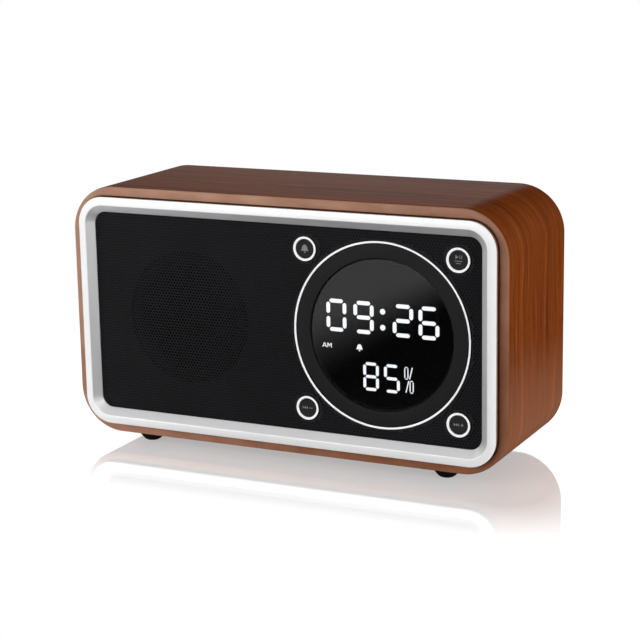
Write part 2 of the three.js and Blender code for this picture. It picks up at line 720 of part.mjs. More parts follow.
// Loudspeaker: basket, surround, cone, dust cap, coil, spider and magnet, on one axis
function addSpeaker(parent) {
  const lipFront = baffleBack + fit;
  const flangeFront = lipFront + surroundSheet + fit;
  const flangeBack = flangeFront + flangeThickness;
  const basketMouth = surroundLipRadius - surroundLipWidth;
  const rollRadius = surroundRollWidth / 2;
  const rollMiddle = basketMouth - rollRadius;
  const hemRadius = rollMiddle - rollRadius;
  const coneRadius = hemRadius - fit;
  const coneFront = lipFront;
  const neckRadius = coilRadius + fit;
  const neckDepth = coneFront + coneDepth;
  const spiderFront = neckDepth + spiderRest + coneTravel;
  const floorFront = spiderFront + spiderSheet + spiderWave + basketFloorGap;
  const floorBack = floorFront + basketSheet;

  const basket = turnedRing([
    [basketMouth, flangeFront],
    [flangeRadius, flangeFront],
    [flangeRadius, flangeBack],
    [basketMouth + basketSheet, flangeBack],
    [basketFloorRadius, spiderFront - basketFloorGap],
    [basketFloorRadius, floorBack],
    [coilRadius + poleGap + fit, floorBack],
    [coilRadius + poleGap + fit, floorFront],
    [basketFloorRadius - basketSheet, floorFront],
    [basketFloorRadius - basketSheet, spiderFront - basketFloorGap],
  ], turnSteps);
  const cuts = [];
  for (let i = 0; i < basketWindowCount; i++) {
    const turn = Math.PI * (2 * i + 1) / basketWindowCount;
    const window = block(basketWindowWidth, flangeRadius,
      flangeBack + flangeThickness * 2, spiderFront - basketFloorGap - flangeThickness,
      0, flangeRadius / 2 + coilRadius);
    cuts.push(window.rotateY(turn));
  }
  for (const { x, z } of speakerScrewPlaces) {
    cuts.push(bore(screwHoleRadius, flangeFront, flangeBack, x, z));
  }
  piece(parent, 'speaker_basket', carve([basket], cuts), steel);

  const rollSteps = 6;
  const roll = (radius, level) => Array.from({ length: rollSteps + 1 }, (_, i) => {
    const angle = Math.PI * i / rollSteps;
    return [rollMiddle + radius * Math.cos(angle), level - radius * Math.sin(angle)];
  });
  const rollBase = lipFront + surroundSheet;
  piece(parent, 'speaker_surround', turnedRing([
    [surroundLipRadius, lipFront + surroundSheet],
    [surroundLipRadius, lipFront],
    [rollMiddle + rollRadius + surroundSheet, lipFront],
    ...roll(rollRadius, rollBase),
    [hemRadius, rollBase + surroundHem],
    [hemRadius + surroundSheet, rollBase + surroundHem],
    ...roll(rollRadius - surroundSheet, rollBase).reverse(),
  ], turnSteps), blackRubber);

  piece(parent, 'speaker_cone', turnedRing([
    [coneRadius, coneFront],
    [coneRadius, coneFront + coneRimDepth],
    [neckRadius + coneSheet, neckDepth],
    [neckRadius, neckDepth],
    [neckRadius, neckDepth - coneSheet],
    [coneRadius - coneSheet, coneFront + coneRimDepth - coneSheet],
    [coneRadius - coneSheet, coneFront],
  ], turnSteps), paperCone);

  const coilFront = neckDepth - coilLead;
  piece(parent, 'voice_coil', turnedRing([
    [coilRadius - coilWall, coilFront],
    [coilRadius, coilFront],
    [coilRadius, coilFront + coilLength],
    [coilRadius - coilWall, coilFront + coilLength],
  ], turnSteps), copper);

  const capSteps = 4;
  const dome = (rise, level, backwards) => Array.from({ length: capSteps + 1 }, (_, i) => {
    const share = backwards ? 1 - i / capSteps : i / capSteps;
    return [coilRadius * share, level - rise * (1 - share * share)];
  });
  piece(parent, 'dust_cap', turned([
    ...dome(dustCapRise, coilFront - fit - dustCapSheet, false),
    ...dome(dustCapRise, coilFront - fit, true),
  ], turnSteps), paperCone);

  const spiderOuter = basketFloorRadius - basketSheet - fit;
  const spiderRun = (spiderOuter - neckRadius) / 4;
  const spiderPath = [0, 1, 2, 3, 4].map((i) => [
    neckRadius + spiderRun * i,
    spiderFront + (i % 2 ? 0 : spiderWave),
  ]);
  piece(parent, 'spider', turnedRing([
    ...spiderPath,
    ...spiderPath.map(([radius, depth]) => [radius, depth + spiderSheet]).reverse(),
  ], turnSteps), leadCover);

  const plateFront = floorBack + fit;
  const magnetFront = plateFront + topPlateThickness + fit;
  const yokeFront = magnetFront + magnetThickness + fit;
  const washer = (bore, radius, front, back) => turnedRing(
    [[bore, front], [radius, front], [radius, back], [bore, back]], turnSteps);
  piece(parent, 'magnet_top_plate',
    washer(coilRadius + poleGap, topPlateRadius, plateFront, plateFront + topPlateThickness), steel);
  piece(parent, 'ring_magnet',
    washer(magnetBoreRadius, magnetRadius, magnetFront, magnetFront + magnetThickness), ferrite);
  const poleRadius = coilRadius - coilWall - poleGap;
  piece(parent, 'pole_yoke', turned([
    [0, plateFront],
    [poleRadius, plateFront],
    [poleRadius, yokeFront],
    [topPlateRadius, yokeFront],
    [topPlateRadius, yokeFront + yokeThickness],
    [0, yokeFront + yokeThickness],
  ], turnSteps), steel);

  const fastener = screw(flangeBack, baffleBack - speakerScrewReach);
  for (const { place, x, z } of speakerScrewPlaces) {
    piece(parent, `speaker_screw_${place}`, fastener, steel, x, 0, z);
  }
}

// Rear panel with counterbored screw holes, socket holes and four stake posts
function addRearPanel(parent) {
  const shape = roundedShape(caseHalfWidth - rearStrip, caseHalfHeight - rearStrip, rearCornerRadius);
  const panel = slab(shape, panelFront, panelBack);
  const posts = mainStakePlaces.map(({ x, z }) => stakePost(
    panelFront + overrun, mainBoardBack, mainBoardFront, x, z));
  const usbHole = roundedShape(usbWidth / 2 + fit, usbHeight / 2 + fit, usbHeight / 2 - fit);
  const slotWidth = sliderWidth + sliderTravel + fit * 2;
  const cuts = [
    bore(jackBushRadius + fit, panelFront, panelBack, -socketSpacing, -socketDrop),
    slab(usbHole, panelFront - overrun, panelBack + overrun).translate(0, 0, -socketDrop),
    block(slotWidth, sliderHeight + fit * 2, panelFront - overrun, panelBack + overrun,
      socketSpacing + sliderTravel / 2, -socketDrop),
  ];
  for (const { x, z } of rearScrewPlaces) {
    cuts.push(bore(screwHoleRadius, panelFront, panelBack, x, z));
    cuts.push(drum(screwHeadRadius + fit, rearScrewSeat, panelBack + overrun).translate(x, 0, z));
  }
  piece(parent, 'rear_panel', carve([panel, ...posts], cuts), blackPlastic);
  const fastener = screw(rearScrewSeat, rearScrewSeat - rearScrewLength);
  for (const { place, x, z } of rearScrewPlaces) {
    piece(parent, `rear_screw_${place}`, fastener, steel, x, 0, z);
  }
}

// Main board with its shield, jack, charging socket and power switch
function addElectronics(parent) {
  const shape = roundedShape(mainBoardWidth / 2, mainBoardHeight / 2, mainStakeInset / 2);
  for (const { x, z } of mainStakePlaces) shape.holes.push(circleShape(stakePinRadius + fit, x, z));
  piece(parent, 'main_board', slab(shape, mainBoardFront, mainBoardBack), greenBoard);
  piece(parent, 'shield_can', block(canWidth, canHeight, mainBoardBack, mainBoardBack + canDepth,
    0, mainBoardHeight / 2 - mainStakeInset - canHeight / 2), steel);

  const bodyBack = panelFront - fit;
  const mouth = panelBack - socketSetback;
  const jack = carve([
    block(jackWidth, jackWidth, mainBoardBack, bodyBack),
    drum(jackBushRadius, bodyBack - overrun, mouth),
  ], [drum(jackBoreRadius, mainBoardBack + jackBackWall, mouth + overrun)]);
  piece(parent, 'aux_jack', jack, blackPlastic, -socketSpacing, 0, -socketDrop);

  const usbRound = usbHeight / 2 - fit;
  const usbOutside = roundedShape(usbWidth / 2, usbHeight / 2, usbRound);
  const usbInside = roundedShape(usbWidth / 2 - usbShell, usbHeight / 2 - usbShell, usbRound - usbShell);
  const usb = carve(
    [slab(usbOutside, mainBoardBack, mouth)],
    [slab(usbInside, mainBoardBack + jackBackWall, mouth + overrun)],
  );
  const tongue = block(usbTongueWidth, usbTongueThickness,
    mainBoardBack + jackBackWall / 2, mouth - usbTongueSetback);
  piece(parent, 'usb_socket', carve([usb, tongue], []), steel, 0, 0, -socketDrop);

  const slideRoom = sliderWidth + sliderBaseOverhang * 2 + sliderTravel + fit * 2;
  const slideHeight = sliderHeight + fit * 2;
  const wellFront = mainBoardBack + powerWall;
  const well = block(slideRoom, slideHeight, wellFront, bodyBack + overrun, sliderTravel / 2, 0);
  const housing = block(slideRoom + powerWall * 2, slideHeight + powerWall * 2,
    mainBoardBack, bodyBack, sliderTravel / 2, 0);
  piece(parent, 'power_switch_body', carve([housing], [well]), steel, socketSpacing, 0, -socketDrop);
  const knob = block(sliderWidth, sliderHeight, bodyBack - overrun, panelBack + sliderProud);
  const base = block(sliderWidth + sliderBaseOverhang * 2, sliderHeight, wellFront + fit, bodyBack - fit);
  piece(parent, 'power_switch_slider', carve([base, knob], []), greyCap, socketSpacing, 0, -socketDrop);
}

// Rechargeable cell lying across the floor of the case, in an open cradle
function addBattery(parent) {
  const along = (geometry) => geometry.rotateZ(-Math.PI / 2);
  const cell = along(turned([
    [0, -cellLength / 2],
    [cellRadius, -cellLength / 2],
    [cellRadius, cellLength / 2],
    [cellButtonRadius, cellLength / 2],
    [cellButtonRadius, cellLength / 2 + cellButtonHeight],
    [0, cellLength / 2 + cellButtonHeight],
  ], turnSteps));
  const middle = cellRadius + cradleFloor + fit * 2 - innerHalfHeight;
  const x = cradlePlace - cellButtonHeight / 2;
  piece(parent, 'battery_cell', cell, cellWrap, x, cradleDepthPlace, middle);
  const floor = fit - innerHalfHeight - middle;
  const outer = new THREE.BoxGeometry(cradleLength, (cellRadius + fit + cradleWall) * 2, -floor);
  outer.translate(cellButtonHeight / 2, 0, floor / 2);
  const hollowStart = -cellLength / 2 - fit;
  const hollowEnd = cellLength / 2 + cellButtonHeight + fit;
  const hollow = along(drum(cellRadius + fit, hollowStart, hollowEnd, turnSteps));
  piece(parent, 'battery_cradle', carve([outer], [hollow]), blackPlastic, x, cradleDepthPlace, middle);
}

// Leads and ribbon that stay inside the case
function addLeads(parent) {
  const lead = (name, points) => {
    const section = circleShape(leadRadius);
    const path = new THREE.CatmullRomCurve3(points);
    piece(parent, name, new THREE.ExtrudeGeometry(section, {
      steps: leadSteps, curveSegments: leadSides, bevelEnabled: false, extrudePath: path,
    }), leadCover);
  };
  const boardTap = mainBoardFront - fit;
  const basketSide = speakerPlace + basketFloorRadius + fit * 2;
  const leadLevel = baffleBack + coneDepth + coneTravel;
  lead('speaker_lead', [
    new THREE.Vector3(basketSide, leadLevel, -leadRadius * 2),
    new THREE.Vector3(basketSide + leadBow, leadLevel + leadBow / 2, -leadBow),
    new THREE.Vector3(-leadBow / 2, (leadLevel + boardTap) / 2, -leadBow),
    new THREE.Vector3(-leadBow / 2, boardTap - leadBow, -leadRadius * 2),
    new THREE.Vector3(-leadBow / 2, boardTap, -leadRadius * 2),
  ]);
  const cradleEnd = cradlePlace - cradleLength / 2 - leadRadius - fit;
  const cradleTop = cellRadius + cradleFloor + fit * 2 - innerHalfHeight;
  lead('battery_lead', [
    new THREE.Vector3(cradleEnd, cradleDepthPlace, cradleTop - leadBow),
    new THREE.Vector3(cradleEnd, cradleDepthPlace + leadBow / 3, cradleTop - leadBow / 4),
    new THREE.Vector3(cradleEnd + leadBow / 4, boardTap - leadBow, cradleTop + leadBow),
    new THREE.Vector3(cradleEnd + leadBow / 2, boardTap, cradleTop + leadBow + leadBow / 2),
  ]);
  const front = displayBoardBack + fit;
  const back = mainBoardFront - fit;
  const ribbon = new THREE.Shape([
    [front, 0],
    [front + ribbonSheet, 0],
    [front + ribbonSheet, ribbonFoot],
    [back - ribbonSheet, ribbonFoot + ribbonRise],
    [back - ribbonSheet, ribbonRise],
    [back, ribbonRise],
    [back, ribbonFoot + ribbonRise + ribbonSheet],
    [back - ribbonSheet, ribbonFoot + ribbonRise + ribbonSheet],
    [front, ribbonFoot + ribbonSheet],
  ].map(([y, z]) => new THREE.Vector2(y, z)));
  const strip = new THREE.ExtrudeGeometry(ribbon, { depth: ribbonWidth, bevelEnabled: false });
  strip.rotateX(Math.PI / 2);
  strip.rotateZ(Math.PI / 2);
  piece(parent, 'display_ribbon', strip, milkyPlastic, displayPlace - buttonHalfRise, 0, ribbonFoot);
}

// Rubber feet with a stem pressed into the case
function addFeet(parent) {
  const foot = turned([
    [0, 0],
    [footBaseRadius, 0],
    [footBaseRadius + (footTopRadius - footBaseRadius) / 2, footEdge],
    [footTopRadius, footHeight - footEdge],
    [footTopRadius, footHeight],
    [footStemRadius, footHeight],
    [footStemRadius, footHeight + footStemLength],
    [0, footHeight + footStemLength],
  ], smallTurnSteps);
  foot.rotateX(Math.PI / 2);
  for (const { place, x, y } of footPlaces) {
    piece(parent, `foot_${place}`, foot.clone(), blackRubber, x, y, -caseHalfHeight - footHeight);
  }
}

// Places shared by more than one piece
const screwHoleRadius = screwShankRadius + screwHoleGap;
const rearScrewSeat = panelFront + rearCounterboreFloor;
const rearScrewPlaces = fourPlaces(innerHalfWidth - screwPostInset, innerHalfHeight - screwPostInset);
const buttonPlaces = fourPlaces(buttonHalfRise, buttonHalfRise);
const displaySkirtRadius = displayRingRadius - fit * 2;
const displayBoardHalfHeight = displaySkirtRadius + fit + stakePostRadius * 2;
const displayStakeReach = displaySkirtRadius + fit * 2 + stakePostRadius;
const displayStakePlaces = fourPlaces(
  buttonHalfRise * stakePostShare,
  Math.sqrt(displayStakeReach ** 2 - (buttonHalfRise * stakePostShare) ** 2) + fit,
);
const surroundLipRadius = flangeRadius - surroundLipInset;
const speakerScrewReachRadius = flangeRadius - speakerScrewInset;
const speakerScrewPlaces = fourPlaces(
  speakerScrewReachRadius * Math.SQRT1_2,
  speakerScrewReachRadius * Math.SQRT1_2,
);
const mainStakePlaces = fourPlaces(
  mainBoardWidth / 2 - mainStakeInset,
  mainBoardHeight / 2 - mainStakeInset,
);
const lensLedgeBore = lensRadius - lensLedgeWidth;
const maskFront = lensRecess - displayRingProud + lensThickness + fit;
const maskSeat = maskFront + lensLedgeThickness + fit;
const diffuserBack = maskSeat + maskThickness + fit + diffuserThickness;
const cradleLength = cellLength + cellButtonHeight + (cradleWall + fit) * 2;
const cradlePlace = innerHalfWidth - caseInnerCornerRadius - fit - cradleLength / 2;
const footPlaces = [
  { place: 'front_left', x: footSideInset - caseHalfWidth, y: footEndInset },
  { place: 'front_right', x: caseHalfWidth - footSideInset, y: footEndInset },
  { place: 'rear_left', x: footSideInset - caseHalfWidth, y: caseDepth - footEndInset },
  { place: 'rear_right', x: caseHalfWidth - footSideInset, y: caseDepth - footEndInset },
];

// The assembly, with the case's front edge half the whole depth in front of the origin
const clock = new THREE.Group();
const body = new THREE.Group();
body.position.set(0, bezelProud - (bezelProud + caseDepth) / 2, footHeight + caseHalfHeight);
clock.add(body);

const displaySide = new THREE.Group();
displaySide.position.x = displayPlace;
body.add(displaySide);

const speakerSide = new THREE.Group();
speakerSide.position.x = speakerPlace;
body.add(speakerSide);

addCase(body);
addBezel(body);
addBaffle(body);
addGrille(body);
addDisplayTrim(displaySide);
addDisplayModule(displaySide);
addDisplayBoard(displaySide);
addButtons(displaySide);
addSpeaker(speakerSide);
addRearPanel(body);
addElectronics(body);
addBattery(body);
addLeads(body);
addFeet(body);

export default clock;
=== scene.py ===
import math

import bpy
import numpy as np
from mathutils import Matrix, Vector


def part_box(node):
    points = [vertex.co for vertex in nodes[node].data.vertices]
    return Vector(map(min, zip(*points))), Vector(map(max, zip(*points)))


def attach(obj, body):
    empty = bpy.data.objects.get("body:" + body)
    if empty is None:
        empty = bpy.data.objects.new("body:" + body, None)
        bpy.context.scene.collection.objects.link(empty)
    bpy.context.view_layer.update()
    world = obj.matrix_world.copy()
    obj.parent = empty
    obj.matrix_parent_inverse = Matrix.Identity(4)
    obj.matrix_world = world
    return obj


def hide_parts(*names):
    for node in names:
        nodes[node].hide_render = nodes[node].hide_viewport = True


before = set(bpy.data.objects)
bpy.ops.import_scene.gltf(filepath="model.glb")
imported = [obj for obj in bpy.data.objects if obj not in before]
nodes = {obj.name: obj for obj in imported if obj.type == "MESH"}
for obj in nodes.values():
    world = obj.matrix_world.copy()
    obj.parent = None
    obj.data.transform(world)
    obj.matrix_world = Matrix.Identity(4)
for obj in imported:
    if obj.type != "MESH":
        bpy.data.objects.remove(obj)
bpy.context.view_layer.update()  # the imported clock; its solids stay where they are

places = ("top_left", "top_right", "bottom_left", "bottom_right")
footPlaces = ("front_left", "front_right", "rear_left", "rear_right")


# Puts something new into the scene
def addObject(name, data):
    thing = bpy.data.objects.new(name, data)
    bpy.context.scene.collection.objects.link(thing)
    return thing


# Camera, at the photograph's viewing angle
viewpoint = {
    "place": (0.346327, -0.7049, 0.23725),
    "turn": (76.92814, 0.99895, 25.79614),  # degrees about X, Y and Z
    "lens": 105.2824,
    "sensor": 36,
}
cameraData = bpy.data.cameras.new("camera")
cameraData.lens = viewpoint["lens"]
cameraData.sensor_width = viewpoint["sensor"]
camera = addObject("camera", cameraData)
camera.location = viewpoint["place"]
camera.rotation_euler = [math.radians(angle) for angle in viewpoint["turn"]]
bpy.context.scene.camera = camera

# Every new piece is worked out in millimetres: x from the middle of the case,
# depth behind the case's front edge, and height above the middle of the case
caseLow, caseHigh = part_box("wooden_case")
startPoint = np.array([0, caseLow.y, (caseLow.z + caseHigh.z) / 2])
millimetre = 0.001
centimetre = 10  # the maps of the pieces run in centimetres
tiny = 0.0001  # points nearer than this to each other, or to an axis, meet


# Lowest and highest corner of a solid, in the clock's own millimetres
def sizeOf(node):
    return [(np.array(corner) - startPoint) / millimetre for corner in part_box(node)]


# Middle x, middle height, half width and the two end depths of a round solid
def roundPlace(node):
    low, high = sizeOf(node)
    x, depth, height = (low + high) / 2
    return x, height, (high[0] - low[0]) / 2, low[1], high[1]


# Quads between the rows and columns of a grid, with the row and column of each corner; the last
# column joins the first one, and so does the last row where the rows close
def gridQuads(rows, columns, closeRows):
    lines = np.arange(rows if closeRows else rows - 1)
    row, column = [side.ravel() for side in np.meshgrid(lines, np.arange(columns), indexing="ij")]
    cornerRow = np.stack([row, row, row + 1, row + 1], 1)
    cornerColumn = np.stack([column, column + 1, column + 1, column], 1)
    return cornerRow % rows * columns + cornerColumn % columns, cornerRow, cornerColumn


# Rounds the corners of a run of points: each corner gives way to a parabola that leaves
# its two sides a cut before and a cut after the corner
def softened(corners, cuts, closed=True, steps=6):
    corners = np.asarray(corners, float)
    cuts = np.broadcast_to(cuts, len(corners))[:, None]
    ends = []
    for way in (1, -1):
        side = np.roll(corners, way, 0) - corners
        length = np.linalg.norm(side, axis=1, keepdims=True)
        ends.append(corners + side / length * np.minimum(cuts, length / 2))
    start, end = ends
    if not closed:
        start[0] = end[0] = corners[0]
        start[-1] = end[-1] = corners[-1]
    share = np.linspace(0, 1, steps + 1)[None, :, None]
    run = (1 - share) ** 2 * start[:, None] + 2 * share * (1 - share) * corners[:, None]
    run = (run + share**2 * end[:, None]).reshape(-1, corners.shape[1])
    apart = np.linalg.norm(run - np.roll(run, 1, 0), axis=1) > tiny
    apart[0] = apart[0] or not closed
    return run[apart]


# The same for rows that each end with the cut of their own corner
def rounded(rows, closed=True):
    rows = np.array(rows, float)
    return softened(rows[:, :-1], rows[:, -1], closed)


# Profile of a plain ring, with cuts for its front and rear corners
def ringProfile(inner, outer, front, back, frontCut, backCut=0):
    corners = [(inner, front), (outer, front), (outer, back), (inner, back)]
    return softened(corners, [frontCut, frontCut, backCut, backCut])


# Distance run from the first point to each point, and round to the first again
def runLengths(points):
    steps = np.linalg.norm(np.roll(points, -1, 0) - points, axis=-1)
    return np.concatenate([[0], np.cumsum(steps)])


# A profile of (radius, depth) turned about a front-to-back axis: the point at angle a is
# (x + radius cos a, depth, height + radius sin a). A profile that starts and ends on the
# axis gets its two poles, and any other profile closes on itself
def turnedShape(profile, steps, x=0, height=0):
    profile = np.asarray(profile, float)
    rings = profile[profile[:, 0] > tiny]
    closed = len(rings) == len(profile)
    angle = np.linspace(0, 2 * np.pi, steps, endpoint=False)
    radius, depth = rings[:, :1], rings[:, 1:]
    grid = np.stack([x + radius * np.cos(angle), depth + 0 * angle, height + radius * np.sin(angle)], -1)
    quads, row, column = gridQuads(len(rings), steps, closed)
    across = runLengths(rings) / centimetre
    faces = [quads]
    maps = [np.stack([column / steps, across[row]], -1)]
    points = grid.reshape(-1, 3)
    if not closed:
        count = len(points)
        points = np.concatenate([points, [[x, profile[0, 1], height], [x, profile[-1, 1], height]]])
        here = np.arange(steps)
        after = (here + 1) % steps
        last = count - steps
        front = np.stack([here * 0 + count, after, here], 1)
        back = np.stack([last + here, last + after, here * 0 + count + 1], 1)
        fan = np.stack([np.stack([here + 0.5, here + 1, here], 1) / steps, 0 * front], -1)
        faces += [front, back]
        maps += [fan, fan + [0, across[-2]]]
    return {"points": points, "faces": faces, "maps": maps}


# Rounded rectangles joined into a frame. Each row is (inset, corner radius, depth), and its
# outline starts at the bottom middle and turns through the four corners. The map runs round
# the outermost row one way and along the rows the other way
def framedShape(half, rows, cornerSteps):
    rows = np.asarray(rows, float)
    quarter = np.linspace(0, np.pi / 2, cornerSteps + 1)
    angle = np.concatenate([[-np.pi / 2], *[quarter + np.pi / 2 * (turn - 1) for turn in range(4)]])
    sideX = np.concatenate([[0], *[np.full(cornerSteps + 1, side) for side in (1, 1, -1, -1)]])
    sideZ = np.concatenate([[-1], *[np.full(cornerSteps + 1, side) for side in (-1, 1, 1, -1)]])
    inset, radius, depth = rows.T[:, :, None]
    x = sideX * (half[0] - inset - radius) + radius * np.cos(angle)
    z = sideZ * (half[2] - inset - radius) + radius * np.sin(angle)
    grid = np.stack([x, depth + 0 * x, z], -1)
    quads, row, column = gridQuads(len(rows), len(angle), closeRows=True)
    around = runLengths(grid[np.argmin(rows[:, 0])])
    across = runLengths(rows[:, [0, 2]])
    spread = np.stack([around[column], across[row]], -1) / centimetre
    return {"points": grid.reshape(-1, 3), "faces": [quads], "maps": [spread]}


# The map of faces that are seen from the front: x one way and height the other way
def frontMaps(points, faces):
    return [points[face][..., [0, 2]] / centimetre for face in faces]


# A flat outline of (x, height) carried from one depth to another
def raisedShape(outline, front, back):
    outline = np.asarray(outline, float)
    count = len(outline)
    ring = [np.stack([outline[:, 0], np.full(count, depth), outline[:, 1]], 1) for depth in (front, back)]
    here = np.arange(count)
    after = (here + 1) % count
    walls = np.stack([here, after, after + count, here + count], 1)
    faces = [walls, here[::-1][None], here[None] + count]
    points = np.concatenate(ring)
    return {"points": points, "faces": faces, "maps": frontMaps(points, faces)}


# Several shapes as one
def joinedShapes(shapes):
    starts = np.cumsum([0] + [len(shape["points"]) for shape in shapes])
    return {
        "points": np.concatenate([shape["points"] for shape in shapes]),
        "faces": [face + start for shape, start in zip(shapes, starts) for face in shape["faces"]],
        "maps": [spread for shape in shapes for spread in shape["maps"]],
    }


# Six times the volume inside some faces, each cut into a fan of triangles about its first corner
def signedVolume(points, faces):
    total = 0
    for face in faces:
        for corner in range(1, face.shape[1] - 1):
            first, second, third = points[face[:, 0]], points[face[:, corner]], points[face[:, corner + 1]]
            total += np.sum(first * np.cross(second, third))
    return total


# Puts a shape into a mesh with its faces outwards, smooth but for edges sharper than an angle
# in degrees, and hangs it on a body
def addPiece(name, shape, body, material, stands=(), sharpAngle=32):
    points = shape["points"] - shape["points"].mean(0)
    flip = signedVolume(points, shape["faces"]) < 0
    faces = [face[:, ::-1] if flip else face for face in shape["faces"]]
    maps = [spread[:, ::-1] if flip else spread for spread in shape["maps"]]
    corners = [row for face in faces for row in face.tolist()]
    mesh = bpy.data.meshes.new(name)
    mesh.from_pydata(shape["points"] * millimetre + startPoint, [], corners)
    layer = mesh.uv_layers.new(name="map")
    layer.data.foreach_set("uv", np.concatenate([spread.reshape(-1, 2) for spread in maps]).ravel())
    mesh.shade_smooth()
    mesh.set_sharp_from_angle(angle=math.radians(sharpAngle))
    mesh.materials.append(material)
    piece = addObject(name, mesh)
    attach(piece, body)
    if stands:
        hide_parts(*stands)
    return piece


# Gives each input of a shader node a value or another node's output
def setInputs(tree, node, inputs):
    for key, value in inputs.items():
        if isinstance(value, bpy.types.NodeSocket):
            tree.links.new(value, node.inputs[key])
        else:
            node.inputs[key].default_value = value


# A node of a shader tree, with its settings made first because they decide its inputs
def addNode(tree, kind, inputs=None, **settings):
    node = tree.nodes.new("ShaderNode" + kind)
    for key, value in settings.items():
        setattr(node, key, value)
    setInputs(tree, node, inputs or {})
    return node


# Arithmetic on one value or two
def mathOf(tree, operation, *values, clamp=False):
    node = addNode(tree, "Math", dict(enumerate(values)), operation=operation, use_clamp=clamp)
    return node.outputs["Value"]


# Arithmetic on one vector or two
def vectorOf(tree, operation, *values):
    node = addNode(tree, "VectorMath", dict(enumerate(values)), operation=operation)
    return node.outputs["Value" if operation == "LENGTH" else "Vector"]


# A piece's own coordinates, or its map
def placeOf(tree, kind="Object"):
    return addNode(tree, "TexCoord").outputs[kind]


# The three parts of a vector
def partsOf(tree, vector):
    return addNode(tree, "SeparateXYZ", {"Vector": vector}).outputs


# A plain colour made opaque; another node's colour stays as it is
def opaque(colour):
    return colour if isinstance(colour, bpy.types.NodeSocket) else (*colour, 1)


# A mix of two colours; the sockets are numbered because the node has one set for each kind
def mixColours(tree, factor, first, second, blend="MIX"):
    inputs = {0: factor, 6: opaque(first), 7: opaque(second)}
    return addNode(tree, "Mix", inputs, data_type="RGBA", blend_type=blend).outputs[2]


# A ramp from a value to colours, given as (place, colour) stops
def rampColours(tree, factor, stops):
    node = addNode(tree, "ValToRGB", {"Fac": factor})
    elements = node.color_ramp.elements
    while len(elements) < len(stops):
        elements.new(0.5)
    for element, (place, colour) in zip(elements, stops):
        element.position = place
        element.color = opaque(colour)
    return node.outputs["Color"]


noiseReach = (0.3, 0.7)  # nearly all of a noise lies between these values


# A ramp from one colour to another over the reach of a noise
def shade(tree, noise, dark, light, reach=noiseReach):
    return rampColours(tree, noise, list(zip(reach, (dark, light))))


# A colour with all its parts scaled
def scaled(colour, share):
    return [share * part for part in colour]


# A value taken from one range to another, straight or with soft ends
def rangeOf(tree, value, fromLow, fromHigh, toLow, toHigh, smooth=False):
    return addNode(tree, "MapRange", {
        "Value": value, "From Min": fromLow, "From Max": fromHigh, "To Min": toLow, "To Max": toHigh,
    }, interpolation_type="SMOOTHSTEP" if smooth else "LINEAR").outputs["Result"]


# Noise on a vector that is stretched by its own scales
def stretchedNoise(tree, vector, scales, detail=3, roughness=0.5, shift=(0, 0, 0)):
    placed = addNode(tree, "Mapping", {"Vector": vector, "Scale": scales, "Location": shift})
    return addNode(tree, "TexNoise", {
        "Vector": placed.outputs["Vector"], "Scale": 1, "Detail": detail, "Roughness": roughness,
    }).outputs["Fac"]


# A sine wave along one coordinate, from -1 to 1, with a pitch in metres
def waveOf(tree, value, pitch):
    return mathOf(tree, "SINE", mathOf(tree, "MULTIPLY", value, 2 * math.pi / pitch))


# The normal of a bumpy surface, with the bump's depth in metres
def bumpOf(tree, height, strength, depth):
    node = addNode(tree, "Bump", {"Height": height, "Strength": strength, "Distance": depth})
    return node.outputs["Normal"]


# A material with its plain values on the shader's own sockets
def startMaterial(name, values):
    material = bpy.data.materials.new(name)
    material.use_nodes = True
    tree = material.node_tree
    shader = tree.nodes["Principled BSDF"]
    setInputs(tree, shader, values)
    return material, tree, shader


# Group: fine noise on an object's own coordinates, with a slow cloud beside it
def makeGrainGroup():
    noises = (("Fine", "Grain", 2), ("Slow", "Cloud", 3))  # input, output and detail of each
    group = bpy.data.node_groups.new("fine grain", "ShaderNodeTree")
    for source, target, _ in noises:
        group.interface.new_socket(source, in_out="INPUT", socket_type="NodeSocketFloat")
        group.interface.new_socket(target, in_out="OUTPUT", socket_type="NodeSocketFloat")
    entry = group.nodes.new("NodeGroupInput")
    leave = group.nodes.new("NodeGroupOutput")
    place = placeOf(group)
    for source, target, detail in noises:
        inputs = {"Vector": place, "Scale": entry.outputs[source], "Detail": detail}
        setInputs(group, leave, {target: addNode(group, "TexNoise", inputs).outputs["Fac"]})
    return group


grainGroup = makeGrainGroup()
grainDepth = 0.00005  # depth of the plain finishes' bump, in metres


# A moulded, painted or rubbed finish: the grain group's noise shades the colour a little,
# moves the roughness between two values and gives a fine bump
def makePlain(name, dark, light, roughness, specular=0.5, metallic=0, fine=900, slow=25, bump=0.1):
    material, tree, shader = startMaterial(name, {"Specular IOR Level": specular, "Metallic": metallic})
    grain = addNode(tree, "Group", {"Fine": fine, "Slow": slow}, node_tree=grainGroup).outputs
    setInputs(tree, shader, {
        "Base Color": shade(tree, grain["Cloud"], dark, light),
        "Roughness": rangeOf(tree, grain["Grain"], *noiseReach, *roughness),
        "Normal": bumpOf(tree, grain["Grain"], bump, grainDepth),
    })
    return material


